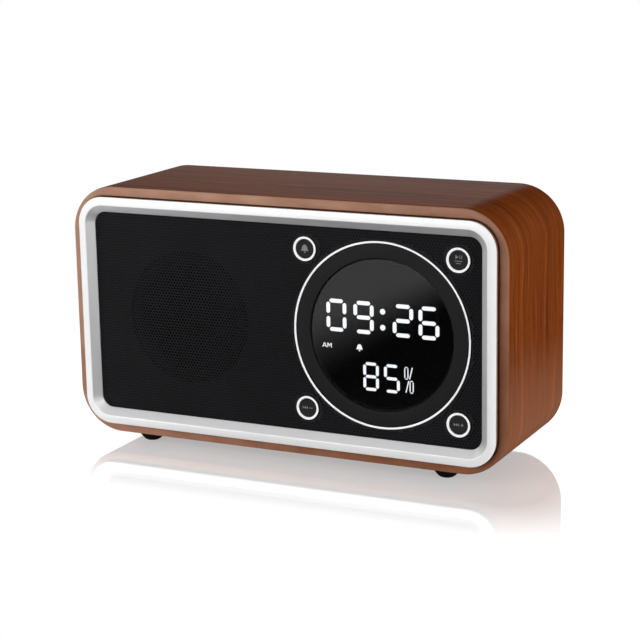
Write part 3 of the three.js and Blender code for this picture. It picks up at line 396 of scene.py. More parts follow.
# Walnut veneer. The map runs round the case in centimetres one way and across it the other
# way, so that the grain follows the bend of the shell; its cut edges at both ends are paler,
# and painted light makes them lighter to the left and at the top. Near the bottom the veneer
# is lighter too, with painted light from the floor.
# Each noise has its scales along and across the grain, its detail, roughness and shift
walnutLook = {
    "wander": ((0.22, 0.8, 1), 2),
    "wanderReach": (-0.4, 0.4),  # how far the grain strays sideways, in centimetres
    "bands": ((0.06, 2.1, 1), 4, 0.6),
    "dark": (0.105, 0.022, 0.0045),
    "middle": (0.210, 0.049, 0.0095),
    "light": (0.420, 0.130, 0.032),
    "stops": (0.28, 0.46, 0.58, 0.74),  # of the dark, the middle twice, and the light
    "streaks": ((0.16, 8, 1), 3, 0.6, (5, 1, 0)),
    "streakTones": (0.70, 1.30),
    "fibres": ((0.5, 26, 1), 5, 0.65),
    "fibreTones": (0.77, 1.21),
    "toneReach": (0.32, 0.68),
    "darkTint": (1, 0.95, 0.9),  # the darker tones are a little redder
    "lightTint": (1, 1.02, 1.05),  # and the lighter ones a little less red
    "fibreBump": (0.25, 0.00006),
    "pores": ((2.4, 62, 1), 2, 0.5, (3, 7, 0)),
    "pore": (0.045, 0.010, 0.003),
    "poreReach": (0.60, 0.70, 0, 0.7),  # noise from none to all, and the share of colour there
    # painted light from the floor: the veneer is lighter near the bottom
    "paintedFloorLight": (0.37, 0.155, 0.072),
    "paintedFloorLightShare": 0.5,
    "paintedFloorLightReach": (0.018, 0.052, 0.90, 0),  # painted light from the floor: from this height to this one, it gives way
    # colours of the cut edges in painted shade and in painted light
    "edgeInShade": (0.235, 0.097, 0.055),
    "edgeInLight": (0.480, 0.275, 0.195),
    "edgeDepth": 0.0009,  # how far the paler edge reaches from either end of the case
    "edgeShare": 0.92,
    "paintedLightAcross": (-0.1, 0.1, 0.78, -0.14),  # painted light across the cut edges: from this x to this one, and the pale share at both
    "paintedLightUp": (-0.15, 0.65),  # painted light: pale share of the cut edges at the bottom and at the top
    "mottle": ((0.55, 1.2, 1), 4, 0.6, (9, 2, 0)),
    "mottleTones": ((0.84, 0.81, 0.77), (1.13, 1.14, 1.13)),
    "mottleReach": (0.34, 0.66),
    "roughness": (0.50, 0.66),
    "lacquer": 0.14,  # share of clear lacquer, which shows at low angles
    "lacquerRoughness": 0.14,
}


def makeWalnut():
    look = walnutLook
    material, tree, shader = startMaterial("walnut veneer", {
        "Specular IOR Level": 0, "Coat Weight": look["lacquer"], "Coat Roughness": look["lacquerRoughness"],
    })
    place = placeOf(tree, "UV")
    stray = rangeOf(tree, stretchedNoise(tree, place, *look["wander"]), 0, 1, *look["wanderReach"])
    bent = vectorOf(tree, "ADD", place, addNode(tree, "CombineXYZ", {"Y": stray}).outputs["Vector"])
    bands = stretchedNoise(tree, bent, *look["bands"])
    streaks = stretchedNoise(tree, bent, *look["streaks"])
    fibres = stretchedNoise(tree, bent, *look["fibres"])
    colours = (look["dark"], look["middle"], look["middle"], look["light"])
    colour = rampColours(tree, bands, list(zip(look["stops"], colours)))
    for noise, (low, high) in ((streaks, look["streakTones"]), (fibres, look["fibreTones"])):
        darker, lighter = scaled(look["darkTint"], low), scaled(look["lightTint"], high)
        tone = shade(tree, noise, darker, lighter, look["toneReach"])
        colour = mixColours(tree, 1, colour, tone, "MULTIPLY")
    pores = rangeOf(tree, stretchedNoise(tree, place, *look["pores"]), *look["poreReach"])
    colour = mixColours(tree, pores, colour, look["pore"])
    parts = partsOf(tree, placeOf(tree))
    # painted light from the floor: the veneer is lighter near the bottom
    floorLitWood = mixColours(tree, look["paintedFloorLightShare"], colour, look["paintedFloorLight"])
    colour = mixColours(tree, rangeOf(tree, parts["Z"], *look["paintedFloorLightReach"]), colour, floorLitWood)
    offset = mathOf(tree, "SUBTRACT", parts["Y"], (caseLow.y + caseHigh.y) / 2)
    start = (caseHigh.y - caseLow.y) / 2 - look["edgeDepth"]
    end = start + look["edgeDepth"] / 2
    edge = rangeOf(tree, mathOf(tree, "ABSOLUTE", offset), start, end, 0, look["edgeShare"])
    # painted light: the cut edges are lighter to the left and at the top
    paintedLightByX = rangeOf(tree, parts["X"], *look["paintedLightAcross"])
    paintedLightByZ = rangeOf(tree, parts["Z"], caseLow.z, caseHigh.z, *look["paintedLightUp"])
    pale = mathOf(tree, "ADD", paintedLightByX, paintedLightByZ, clamp=True)
    cloud = stretchedNoise(tree, place, *look["mottle"])
    mottle = shade(tree, cloud, *look["mottleTones"], look["mottleReach"])
    edgeColour = mixColours(tree, pale, look["edgeInShade"], look["edgeInLight"])
    edgeColour = mixColours(tree, 1, edgeColour, mottle, "MULTIPLY")
    setInputs(tree, shader, {
        "Base Color": mixColours(tree, edge, colour, edgeColour),
        "Roughness": rangeOf(tree, fibres, *noiseReach, *look["roughness"]),
        "Normal": bumpOf(tree, mathOf(tree, "SUBTRACT", fibres, pores), *look["fibreBump"]),
    })
    return material


# Satin metal of the bezel: a bright land outside and a slope inside that is darker with painted
# shade, a thin painted highlight where the land's colour runs over the fold, and fine lines
# that run round the frame; its map runs in centimetres across the land first
bezelLook = {
    "land": (0.97, 0.97, 0.975),
    # painted shade: the slope's darker colour stands in for the shade on it
    "slope": (0.70, 0.70, 0.71),
    "metal": (0.18, 0.55),  # share of bare metal on the land and on the slope
    "crest": 0.035,  # painted highlight: how far the land's bright colour reaches over the fold onto the slope, in centimetres
    "blend": 0.01,  # half the width over which one gives way to the other
    "lines": (0.7, 130, 1),
    "lineTones": (0.95, 1.04),
    "lineBump": (0.05, 0.00004),
    "roughness": (0.34, 0.46),
}


def makeBezelMetal(landWidth):
    look = bezelLook
    material, tree, shader = startMaterial("satin bezel", {})
    place = placeOf(tree, "UV")
    across = partsOf(tree, place)["Y"]
    lines = stretchedNoise(tree, place, look["lines"])
    inside, paintedShadeShare = [
        rangeOf(tree, across, fold - look["blend"], fold + look["blend"], 0, 1)
        for fold in (landWidth, landWidth + look["crest"])
    ]
    tone = shade(tree, lines, *[(tone,) * 3 for tone in look["lineTones"]])
    # painted shade on the slope, and a painted highlight where the land's colour runs over the fold
    colour = mixColours(tree, paintedShadeShare, look["land"], look["slope"])
    setInputs(tree, shader, {
        "Metallic": rangeOf(tree, inside, 0, 1, *look["metal"]),
        "Base Color": mixColours(tree, 1, colour, tone, "MULTIPLY"),
        "Roughness": rangeOf(tree, lines, *noiseReach, *look["roughness"]),
        "Normal": bumpOf(tree, lines, *look["lineBump"]),
    })
    return material


# White plastic lit from inside, a little brighter along slow clouds
litLook = {"colour": (0.96, 0.98, 1.0), "strength": 3.3, "cloud": (90, 90, 90), "dimmest": 0.93}


def makeLit():
    look = litLook
    material, tree, shader = startMaterial("lit segments", {
        "Base Color": opaque(look["colour"]), "Roughness": 0.4, "Emission Strength": look["strength"],
    })
    cloud = stretchedNoise(tree, placeOf(tree), look["cloud"], detail=1)
    glow = shade(tree, cloud, scaled(look["colour"], look["dimmest"]), look["colour"])
    setInputs(tree, shader, {"Emission Color": glow})
    return material


# A dark ring with a white line on its face: the line lies between two places of the map,
# which runs across the face from the inner edge outwards, in centimetres
linedLook = {
    "ground": (0.012, 0.012, 0.013),
    "white": ((0.84, 0.84, 0.84), (0.92, 0.92, 0.92)),
    "cloud": (400, 400, 400),
    "soft": 0.004,  # width of the line's soft edges
    "glow": 0.2,
    "outline": (0.005, 0.091),  # where the line runs on the outline ring
    "button": (-1, 0.118),  # and on the buttons' rings, there from the inner edge on
}


def makeLined(name, lineFrom, lineTo):
    look = linedLook
    material, tree, shader = startMaterial(name, {"Roughness": 0.45, "Emission Strength": look["glow"]})
    across = partsOf(tree, placeOf(tree, "UV"))["Y"]
    starts = rangeOf(tree, across, lineFrom, lineFrom + look["soft"], 0, 1)
    ends = rangeOf(tree, across, lineTo, lineTo + look["soft"], 1, 0)
    line = mathOf(tree, "MULTIPLY", starts, ends)
    white = shade(tree, stretchedNoise(tree, placeOf(tree), look["cloud"], detail=2), *look["white"])
    setInputs(tree, shader, {
        "Base Color": mixColours(tree, line, look["ground"], white),
        "Emission Color": mixColours(tree, line, (0, 0, 0), white),
    })
    return material


# Smoked acrylic: clear through a dark tint, with faint wiping marks in its gloss
smokedLook = {"tint": (0.32, 0.32, 0.33), "marks": (40, 40, 160), "roughness": (0.015, 0.05)}


def makeSmoked():
    look = smokedLook
    material, tree, shader = startMaterial("smoked acrylic", {
        "Base Color": opaque(look["tint"]), "Transmission Weight": 1, "IOR": 1.49,
    })
    marks = stretchedNoise(tree, placeOf(tree), look["marks"])
    setInputs(tree, shader, {"Roughness": rangeOf(tree, marks, *noiseReach, *look["roughness"])})
    return material


# Circuit board: green solder mask, with tinned pads in the middles of one set of cells and
# tracks along the walls of another; each has its scale and the distances where it ends
boardLook = {
    "mask": (0.006, 0.085, 0.03),
    "track": (0.015, 0.16, 0.055),
    "pad": (0.55, 0.55, 0.52),
    "tracks": (420, 0.05, 0.09),
    "pads": (260, 0.12, 0.16),
}


def makeBoard():
    look = boardLook
    material, tree, shader = startMaterial("circuit board", {"Roughness": 0.35})
    place = placeOf(tree)
    shares = []
    for (scale, start, end), setting in (
        (look["tracks"], {"feature": "DISTANCE_TO_EDGE"}), (look["pads"], {"distance": "MANHATTAN"}),
    ):
        cells = addNode(tree, "TexVoronoi", {"Vector": place, "Scale": scale}, **setting)
        shares.append(rangeOf(tree, cells.outputs["Distance"], start, end, 1, 0))
    tracks, pads = shares
    ground = mixColours(tree, tracks, look["mask"], look["track"])
    setInputs(tree, shader, {"Base Color": mixColours(tree, pads, ground, look["pad"]), "Metallic": pads})
    return material


# Voice coil: a dark paper tube in front, and behind it enamelled wire whose turns lie side by
# side along the coil's depth
coilLook = {
    "tube": (0.004, 0.004, 0.0045),
    "tubeShare": 0.75,  # of the coil's depth
    "blend": 0.0001,
    "copper": ((0.28, 0.09, 0.03), (0.75, 0.34, 0.15)),
    "pitch": 0.00025,
    "roughness": (0.8, 0.3),  # of the tube and of the wire
    "bump": (0.5, 0.0001),
}


def makeWound():
    look = coilLook
    material, tree, shader = startMaterial("wound copper", {"Specular IOR Level": 0.1})
    depth = partsOf(tree, placeOf(tree))["Y"]
    low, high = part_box("voice_coil")
    start = low.y + (high.y - low.y) * look["tubeShare"]
    winding = rangeOf(tree, depth, start, start + look["blend"], 0, 1)
    wave = waveOf(tree, depth, look["pitch"])
    copper = shade(tree, rangeOf(tree, wave, -1, 1, 0, 1), *look["copper"], (0, 1))
    setInputs(tree, shader, {
        "Base Color": mixColours(tree, winding, look["tube"], copper),
        "Metallic": winding,
        "Roughness": rangeOf(tree, winding, 0, 1, *look["roughness"]),
        "Normal": bumpOf(tree, wave, *look["bump"]),
    })
    return material


# Woven cloth dipped in resin: two sets of threads across each other
clothLook = {
    "threads": ((0.022, 0.013, 0.006), (0.055, 0.036, 0.016)),
    "pitch": 0.0007,
    "bump": (0.4, 0.00015),
}


def makeCloth():
    look = clothLook
    material, tree, shader = startMaterial("dipped cloth", {"Roughness": 0.8})
    parts = partsOf(tree, placeOf(tree))
    weave = mathOf(tree, "MULTIPLY", *[waveOf(tree, parts[axis], look["pitch"]) for axis in "XZ"])
    setInputs(tree, shader, {
        "Base Color": shade(tree, rangeOf(tree, weave, -1, 1, 0, 1), *look["threads"], (0, 1)),
        "Normal": bumpOf(tree, weave, *look["bump"]),
    })
    return material


# Baffle: board painted nearly black, with its rim left bare. How far a point lies outside the
# rectangle between the middles of the round corners, or inside it as a negative distance,
# tells how near it is to the board's edge, so that the rim has the same width all round
baffleLook = {
    "paint": (0.0170, 0.0170, 0.0182),
    "bare": (0.32, 0.165, 0.095),
    "darkest": (0.85, 0.75),  # shares of the paint's and of the bare wood's colour
    "rim": 0.0008,  # width of the bare rim, in metres
    "blend": 0.0002,  # width over which the paint ends
    "corner": 0.0117,  # radius of the board's corners
    "grain": (700, 700, 700),
    "grainDepth": (0.2, 0.00005),
}


def makeBaffleBoard():
    look = baffleLook
    material, tree, shader = startMaterial("baffle board", {"Roughness": 0.8, "Specular IOR Level": 0.06})
    place = placeOf(tree)
    low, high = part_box("front_baffle")
    middle = (low + high) / 2
    straight = np.array(high - middle) - look["corner"]
    straight[1] = 1  # so that depth never counts
    size = vectorOf(tree, "ABSOLUTE", vectorOf(tree, "SUBTRACT", place, tuple(middle)))
    beyond = vectorOf(tree, "SUBTRACT", size, tuple(straight))
    reach = vectorOf(tree, "LENGTH", vectorOf(tree, "MAXIMUM", beyond, (0, 0, 0)))
    parts = partsOf(tree, beyond)
    inner = mathOf(tree, "MINIMUM", mathOf(tree, "MAXIMUM", parts["X"], parts["Z"]), 0)
    total = mathOf(tree, "ADD", reach, inner)
    start = look["corner"] - look["rim"]
    bare = rangeOf(tree, total, start - look["blend"], start, 0, 1)
    grain = stretchedNoise(tree, place, look["grain"])
    painted, wood = [
        shade(tree, grain, scaled(colour, share), colour)
        for colour, share in zip((look["paint"], look["bare"]), look["darkest"])
    ]
    setInputs(tree, shader, {
        "Base Color": mixColours(tree, bare, painted, wood),
        "Normal": bumpOf(tree, grain, *look["grainDepth"]),
    })
    return material


walnut = makeWalnut()
litWhite = makeLit()
outlineWhite = makeLined("white outline", *linedLook["outline"])
buttonWhite = makeLined("white button line", *linedLook["button"])
smoked = makeSmoked()
board = makeBoard()
wound = makeWound()
cloth = makeCloth()
baffleBoard = makeBaffleBoard()
fibreboard = makePlain("fibreboard", (0.30, 0.19, 0.10), (0.40, 0.27, 0.16), (0.8, 0.95),
                       fine=1400, slow=300)
moulded = makePlain("moulded black", (0.015, 0.015, 0.016), (0.023, 0.023, 0.0245), (0.46, 0.66), bump=0.35)
ringBlack = makePlain("ring black", (0.0095, 0.0095, 0.010), (0.0125, 0.0125, 0.013), (0.46, 0.56),
                      specular=0.16, fine=1600)
maskBlack = makePlain("mask black", (0.001, 0.001, 0.001), (0.0015, 0.0015, 0.0015), (0.7, 0.9),
                      specular=0.05)
sheetBlack = makePlain("sheet black", (0.0138, 0.0137, 0.0154), (0.0180, 0.0178, 0.0200), (0.42, 0.58),
                       specular=0.10, fine=2400)
capGrey = makePlain("button grey", (0.011, 0.011, 0.012), (0.018, 0.018, 0.019), (0.50, 0.70),
                    specular=0.2, fine=3000, bump=0.5)
paintedSteel = makePlain("painted steel", (0.004, 0.004, 0.0045), (0.007, 0.007, 0.0075), (0.45, 0.60),
                         specular=0.12)
signGrey = makePlain("sign grey", (0.20, 0.20, 0.205), (0.26, 0.26, 0.265), (0.5, 0.7))
knobGrey = makePlain("knob grey", (0.05, 0.05, 0.053), (0.07, 0.07, 0.073), (0.45, 0.6))
darkPlate = makePlain("unlit plate", (0.010, 0.010, 0.010), (0.014, 0.014, 0.014), (0.6, 0.8))
rubber = makePlain("black rubber", (0.0035, 0.0035, 0.0035), (0.006, 0.006, 0.006), (0.75, 0.95),
                   specular=0.1, fine=1800, bump=0.3)
plated = makePlain("plated steel", (0.48, 0.49, 0.51), (0.62, 0.63, 0.65), (0.24, 0.32),
                   metallic=1, slow=60, bump=0.02)
blackened = makePlain("blackened steel", (0.030, 0.030, 0.032), (0.05, 0.05, 0.054), (0.28, 0.42),
                      metallic=1, slow=200)
ferrite = makePlain("ferrite", (0.028, 0.028, 0.031), (0.055, 0.055, 0.06), (0.6, 0.85), fine=1200, bump=0.4)
paper = makePlain("pressed paper", (0.0025, 0.0025, 0.0030), (0.0045, 0.0045, 0.0050), (0.8, 0.95),
                  specular=0.05, fine=1500, bump=0.6)
sleeve = makePlain("shrink sleeve", (0.02, 0.10, 0.30), (0.03, 0.14, 0.38), (0.22, 0.35), slow=120)
leadRed = makePlain("lead cover", (0.30, 0.015, 0.012), (0.40, 0.025, 0.02), (0.4, 0.55), slow=150)
ribbonWhite = makePlain("ribbon cable", (0.55, 0.56, 0.57), (0.68, 0.69, 0.70), (0.45, 0.6), slow=200)
print("materials:", len(bpy.data.materials))

# Carried-over solids and the finish of each
finishes = {
    baffleBoard: ["front_baffle"],
    paintedSteel: ["speaker_basket"],
    moulded: ["rear_panel", "aux_jack", "battery_cradle"],
    maskBlack: ["display_mask"],
    darkPlate: ["segment_diffuser"],
    board: ["display_board", "main_board"],
    blackened: ["magnet_top_plate", "pole_yoke"],
    plated: ["shield_can", "usb_socket", "power_switch_body"]
    + [f"{kind}_{place}" for kind in ("switch_body", "speaker_screw") for place in places],
    rubber: ["speaker_surround"],
    paper: ["speaker_cone", "dust_cap"],
    wound: ["voice_coil"],
    cloth: ["spider"],
    ferrite: ["ring_magnet"],
    knobGrey: ["power_switch_slider"] + [f"switch_plunger_{place}" for place in places],
    sleeve: ["battery_cell"],
    leadRed: ["speaker_lead", "battery_lead"],
    ribbonWhite: ["display_ribbon"],
}
for finish, names in finishes.items():
    for name in names:
        nodes[name].data.materials.clear()
        nodes[name].data.materials.append(finish)

# Wooden case: a shell bent from veneered board, stepped at both ends; each row of its frame
# is (inset, corner radius, depth, rounding)
case = {
    "cornerRadius": 20,
    "frontRound": 1.7,
    "rearRound": 1.2,
    "frontInset": 4.0,
    "frontRadius": 12.3,
    "frontShoulder": 4.65,
    "rearInset": 4.0,
    "rearRadius": 16.0,
    "rearShoulder": 62.8,
    "wall": 7,
    "innerRadius": 13,
    "mouthRound": 0.45,
    "cornerSteps": 28,
}
caseLowest, caseHighest = sizeOf("wooden_case")
caseDepth = caseHighest[1]
caseRows = rounded([
    (case["wall"], case["innerRadius"], case["frontShoulder"], 0),
    (case["frontInset"], case["frontRadius"], case["frontShoulder"], 0),
    (case["frontInset"], case["frontRadius"], 0, case["mouthRound"]),
    (0, case["cornerRadius"], 0, case["frontRound"]),
    (0, case["cornerRadius"], caseDepth, case["rearRound"]),
    (case["rearInset"], case["rearRadius"], caseDepth, case["mouthRound"]),
    (case["rearInset"], case["rearRadius"], case["rearShoulder"], 0),
    (case["wall"], case["innerRadius"], case["rearShoulder"], 0),
])
addPiece("walnut_shell", framedShape((caseHighest - caseLowest) / 2, caseRows, case["cornerSteps"]),
         "case", walnut, ["wooden_case"])

# Screw posts in the shell's corners
posts = {"steps": 40, "radius": 6, "bore": 1.6, "length": 24, "round": 0.5}
postFront = case["rearShoulder"] - posts["length"]
postProfile = ringProfile(
    posts["bore"], posts["radius"], postFront, case["rearShoulder"], posts["round"], posts["round"])
postShapes = [
    turnedShape(postProfile, posts["steps"], *roundPlace(f"rear_screw_{place}")[:2]) for place in places
]
addPiece("screw_posts", joinedShapes(postShapes), "case", fibreboard)
print("case: shell and posts")

# Bezel: a formed frame with a land outside and a slope inside; rows of (inset, depth, rounding)
bezel = {
    "cornerRadius": 12,
    "cornerSteps": 24,
    "sharpAngle": 40,
    "rows": [
        (0, -1.97, 0.05), (0, -2.6, 0.3), (1.9, -3.06, 0.5), (3.42, -3.17, 0.34), (6.7, -0.3, 0.12),
        (6.7, 0, 0.05), (6.4, 0, 0.05), (3.15, -1.97, 0.3),
    ],
}
bezelLow, bezelHigh = sizeOf("front_bezel")
bezelRows = rounded([
    (inset, bezel["cornerRadius"] - inset, depth, cut) for inset, depth, cut in bezel["rows"]
])
landWidth = runLengths(bezelRows[:, [0, 2]])[np.argmin(bezelRows[:, 2])] / centimetre
addPiece("satin_bezel", framedShape((bezelHigh - bezelLow) / 2, bezelRows, bezel["cornerSteps"]),
         "case", makeBezelMetal(landWidth), ["front_bezel"], bezel["sharpAngle"])
print("bezel")

# Perforated sheet: staggered rows of round holes
sheet = {
    "pitch": 1.413,
    "rowPitch": 1.223,
    "holeRadius": 0.585,
    "thickness": 0.4,
    "cornerRadius": 5.8,
    "fit": 0.3,  # air round the display and the buttons
    "cellMargin": 0.2,  # a cell whose middle is nearer to the edge is left out
    "blankMargin": 0.215,  # least metal between a hole and the sheet's edge
    "split": -22,  # the sheet is kept as two meshes that meet here
}
sheetLow, sheetHigh = sizeOf("speaker_grille")
sheetHalf = (sheetHigh - sheetLow) / 2
sheetHoles = []
for node in ("display_light_ring", *[f"button_ring_{place}" for place in places]):
    x, height, radius, _, _ = roundPlace(node)
    sheetHoles.append((x, height, radius + sheet["fit"]))


# How far a point (x, height) is outside the sheet: the largest of its distances outside the
# rounded rectangle and inside each round hole, so that it is negative on the metal
def outsideSheet(point):
    radius = sheet["cornerRadius"]
    beyond = np.abs(point) - (sheetHalf[[0, 2]] - radius)
    outside = np.linalg.norm(np.maximum(beyond, 0), axis=-1) + np.minimum(beyond.max(-1), 0) - radius
    for x, height, hole in sheetHoles:
        outside = np.maximum(outside, hole - np.linalg.norm(point - (x, height), axis=-1))
    return outside


# Moves points onto the sheet's edge along the steepest way, twice over
def ontoEdge(point):
    small = 0.01
    for _ in range(2):
        slope = np.stack([
            outsideSheet(point + offset) - outsideSheet(point - offset) for offset in np.eye(2) * small
        ], -1) / (2 * small)
        slope /= np.maximum(np.linalg.norm(slope, axis=-1, keepdims=True), tiny)
        point = point - slope * outsideSheet(point)[:, None]
    return point


cellSides = 8  # points on a cell's outline, and as many on its hole


# The sheet is a wall of rectangular cells, laid like bricks, each with its points on the
# outline and on the hole. Places are counted in half pitches, so cells share points, and
# the outline points that not every neighbour shares are moved onto the sheet's edge
def makeSheetCells():
    half = np.array([sheet["pitch"], sheet["rowPitch"]]) / 2
    rowCount = int(sheetHalf[2] / sheet["rowPitch"]) + 1
    columnCount = int(sheetHalf[0] / sheet["pitch"]) + 2
    row, column = np.meshgrid(
        np.arange(-rowCount, rowCount + 1), np.arange(-columnCount, columnCount + 1), indexing="ij")
    middle = np.stack([column * 2 + row % 2, row * 2], -1).reshape(-1, 2)
    middle = middle[outsideSheet(middle * half) < -sheet["cellMargin"]]
    around = np.array([(1, 0), (1, 1), (0, 1), (-1, 1), (-1, 0), (-1, -1), (0, -1), (1, -1)])
    corners = (middle[:, None] + around).reshape(-1, 2)
    lattice, index, count = np.unique(corners, axis=0, return_inverse=True, return_counts=True)
    flat = lattice * half
    loose = count < np.where(lattice[:, 1] % 2, 3, 2)  # three cells meet in odd rows, two in even
    flat[loose] = ontoEdge(flat[loose])
    return middle * half, index.reshape(-1, cellSides), flat


# One part of the sheet as a closed mesh: both faces, the walls of the holes and the walls
# along every outline edge that no second cell of the part has
def sheetPart(middle, outline, flat, front, back):
    points = len(flat)
    holed = outsideSheet(middle) < -sheet["holeRadius"] - sheet["blankMargin"]
    angle = np.arange(cellSides) * 2 * np.pi / cellSides
    circle = np.stack([np.cos(angle), np.sin(angle)], -1) * sheet["holeRadius"]
    inner = np.where(holed[:, None, None], middle[:, None] + circle, middle[:, None]).reshape(-1, 2)
    plan = np.concatenate([flat, inner])
    layer = len(plan)
    hole = points + np.arange(len(middle) * cellSides).reshape(-1, cellSides)
    nextOutline, nextHole = np.roll(outline, -1, 1), np.roll(hole, -1, 1)
    annulus = np.stack([outline, nextOutline, nextHole, hole], -1)[holed].reshape(-1, 4)
    tube = np.stack([hole, nextHole, nextHole + layer, hole + layer], -1)[holed].reshape(-1, 4)
    fan = np.stack([outline, nextOutline, hole[:, :1] + 0 * outline], -1)[~holed].reshape(-1, 3)
    edges = np.stack([outline, nextOutline], -1).reshape(-1, 2)
    key = edges[:, 0] * points + edges[:, 1]
    single = edges[~np.isin(key, edges[:, 1] * points + edges[:, 0])]
    rim = np.stack([single[:, 1], single[:, 0], single[:, 0] + layer, single[:, 1] + layer], -1)
    faces = [annulus, annulus[:, ::-1] + layer, tube, fan, fan[:, ::-1] + layer, rim]
    used = np.unique(np.concatenate([face.ravel() for face in faces]))
    renumber = np.zeros(layer * 2, int)
    renumber[used] = np.arange(len(used))
    depth = np.repeat([front, back], layer)
    solid = np.stack([np.tile(plan[:, 0], 2), depth, np.tile(plan[:, 1], 2)], -1)[used]
    faces = [renumber[face] for face in faces if len(face)]
    return {"points": solid, "faces": faces, "maps": frontMaps(solid, faces)}


cellMiddle, cellOutline, cellPoints = makeSheetCells()
isLeft = cellMiddle[:, 0] < sheet["split"]
sheetBack = sheetLow[1] + sheet["thickness"]
for name, chosen in (("grille_left", isLeft), ("grille_right", ~isLeft)):
    part = sheetPart(cellMiddle[chosen], cellOutline[chosen], cellPoints, sheetLow[1], sheetBack)
    addPiece(name, part, "case", sheetBlack, ["speaker_grille"])
print("grille:", len(cellMiddle), "cells")

# Trim of the display: outline ring, black ring with its skirt, smoked lens
trim = {
    "steps": 144,
    "lightRingWidth": 0.95,
    "lightRingRound": 0.2,
    "ringRound": 0.3,
    "skirtInset": 0.6,
    "skirtWall": 2,
    "skirtRound": 0.2,
    "ledgeWidth": 1.25,
    "ledge": 0.95,
    "lensFit": 0.3,
    "lensRound": 0.3,
    "fineRound": 0.1,
}
x, height, radius, front, back = roundPlace("display_light_ring")
lightRing = ringProfile(radius - trim["lightRingWidth"], radius, front, back, trim["lightRingRound"])
addPiece("outline_ring", turnedShape(lightRing, trim["steps"], x, height),
         "case", outlineWhite, ["display_light_ring"])

_, _, lensRadius, lensFront, lensBack = roundPlace("display_lens")
displayX, displayHeight, radius, front, back = roundPlace("display_ring")
skirtRadius = radius - trim["skirtInset"]
skirtInner = skirtRadius - trim["skirtWall"]
boreRadius = lensRadius + trim["lensFit"]
ledgeFront = lensBack + trim["lensFit"]
ledgeBack = ledgeFront + trim["ledge"]
ledgeRadius = lensRadius - trim["ledgeWidth"]
blackRing = rounded([
    (boreRadius, front, trim["ringRound"]),
    (radius, front, trim["ringRound"]),
    (radius, sheetHigh[1], 0),
    (skirtRadius, sheetHigh[1], 0),
    (skirtRadius, back, trim["skirtRound"]),
    (skirtInner, back, trim["skirtRound"]),
    (skirtInner, ledgeBack, trim["skirtRound"]),
    (ledgeRadius, ledgeBack, trim["skirtRound"]),
    (ledgeRadius, ledgeFront, trim["fineRound"]),
    (boreRadius, ledgeFront, trim["fineRound"]),
])
addPiece("black_ring", turnedShape(blackRing, trim["steps"], displayX, displayHeight),
         "case", ringBlack, ["display_ring"])
lens = rounded([
    (0, lensFront, 0),
    (lensRadius, lensFront, trim["lensRound"]),
    (lensRadius, lensBack, trim["fineRound"]),
    (0, lensBack, 0),
], closed=False)
addPiece("smoked_lens", turnedShape(lens, trim["steps"], displayX, displayHeight),
         "case", smoked, ["display_lens"])
print("display: ring, outline ring and lens")

# Lit signs: thin glowing bars on the mask, right behind the lens
maskFront = sizeOf("display_mask")[0][1]
lit = {
    "thickness": 0.16,
    "time": {"size": (8.95, 13.6), "stroke": 1.62, "height": 6.6, "places": (-20.63, -8.43, 8.97, 20.27)},
    "percent": {"size": (6.9, 11.9), "stroke": 1.22, "height": -17.93, "places": (-5.38, 3.92)},
    "barGap": 0.42,  # share of the stroke left free at each end of a bar
    "dots": ((0.07, 9.73), (0.07, 3.08)),
    "dotRadius": 1.15,
}
litBars = {  # top, middle, bottom, then the uprights: upper and lower left, upper and lower right
    "0": (1, 0, 1, 1, 1, 1, 1),
    "2": (1, 1, 1, 0, 1, 1, 0),
    "5": (1, 1, 1, 1, 0, 0, 1),
    "6": (1, 1, 1, 1, 1, 0, 1),
    "8": (1, 1, 1, 1, 1, 1, 1),
    "9": (1, 1, 1, 1, 0, 1, 1),
}


# A straight bar between two points: its ends are cut back at both corners, by a share of its
# stroke, and rounded
def barOutline(start, end, stroke, corner=0.34):
    start, end = np.array(start, float), np.array(end, float)
    along = (end - start) / np.linalg.norm(end - start)
    across = np.array([-along[1], along[0]]) * stroke / 2
    cut = along * stroke * corner
    inner = across * (1 - 2 * corner)
    corners = [
        start + cut - across, end - cut - across, end - inner, end + inner,
        end - cut + across, start + cut + across, start + inner, start - inner,
    ]
    return softened(corners, stroke * corner / 2, steps=3)


# A disc's outline
def discOutline(x, height, radius, steps=24):
    angle = np.linspace(0, 2 * np.pi, steps, endpoint=False)
    return np.stack([x + radius * np.cos(angle), height + radius * np.sin(angle)], -1)


# The lit bars of one digit about its middle
def digitOutlines(digit, x, height, size, stroke):
    right, top = (np.array(size) - stroke) / 2
    gap = stroke * lit["barGap"]
    bars = [((gap - right, row * top), (right - gap, row * top)) for row in (1, 0, -1)]
    bars += [((side, row * gap), (side, row * (top - gap))) for side in (-right, right) for row in (1, -1)]
    middle = np.array([x, height])
    return [
        barOutline(middle + start, middle + end, stroke)
        for shown, (start, end) in zip(litBars[digit], bars) if shown
    ]


# A bell of a given height: a flared body over a clapper, in shares of the height
bell = {
    "side": [(0.5, -0.24), (0.36, -0.08), (0.32, 0.2), (0.18, 0.42)],
    "top": (0, 0.5),
    "round": 0.08,
    "clapperDrop": 0.4,
    "clapperRadius": 0.1,
    "clapperSteps": 12,
}


def bellOutlines(x, height, tall):
    body = bell["side"] + [bell["top"]] + [(-a, b) for a, b in reversed(bell["side"])]
    clapper = (height - tall * bell["clapperDrop"], tall * bell["clapperRadius"], bell["clapperSteps"])
    return [softened(body, bell["round"]) * tall + (x, height), discOutline(x, *clapper)]


# Strokes along lines that are given as shares of a width and a height
def strokeOutlines(lines, x, height, width, tall, stroke, corner=0.25):
    scale, start = np.array([width, tall]), np.array([x, height])
    return [barOutline(start + scale * a, start + scale * b, stroke, corner) for a, b in lines]


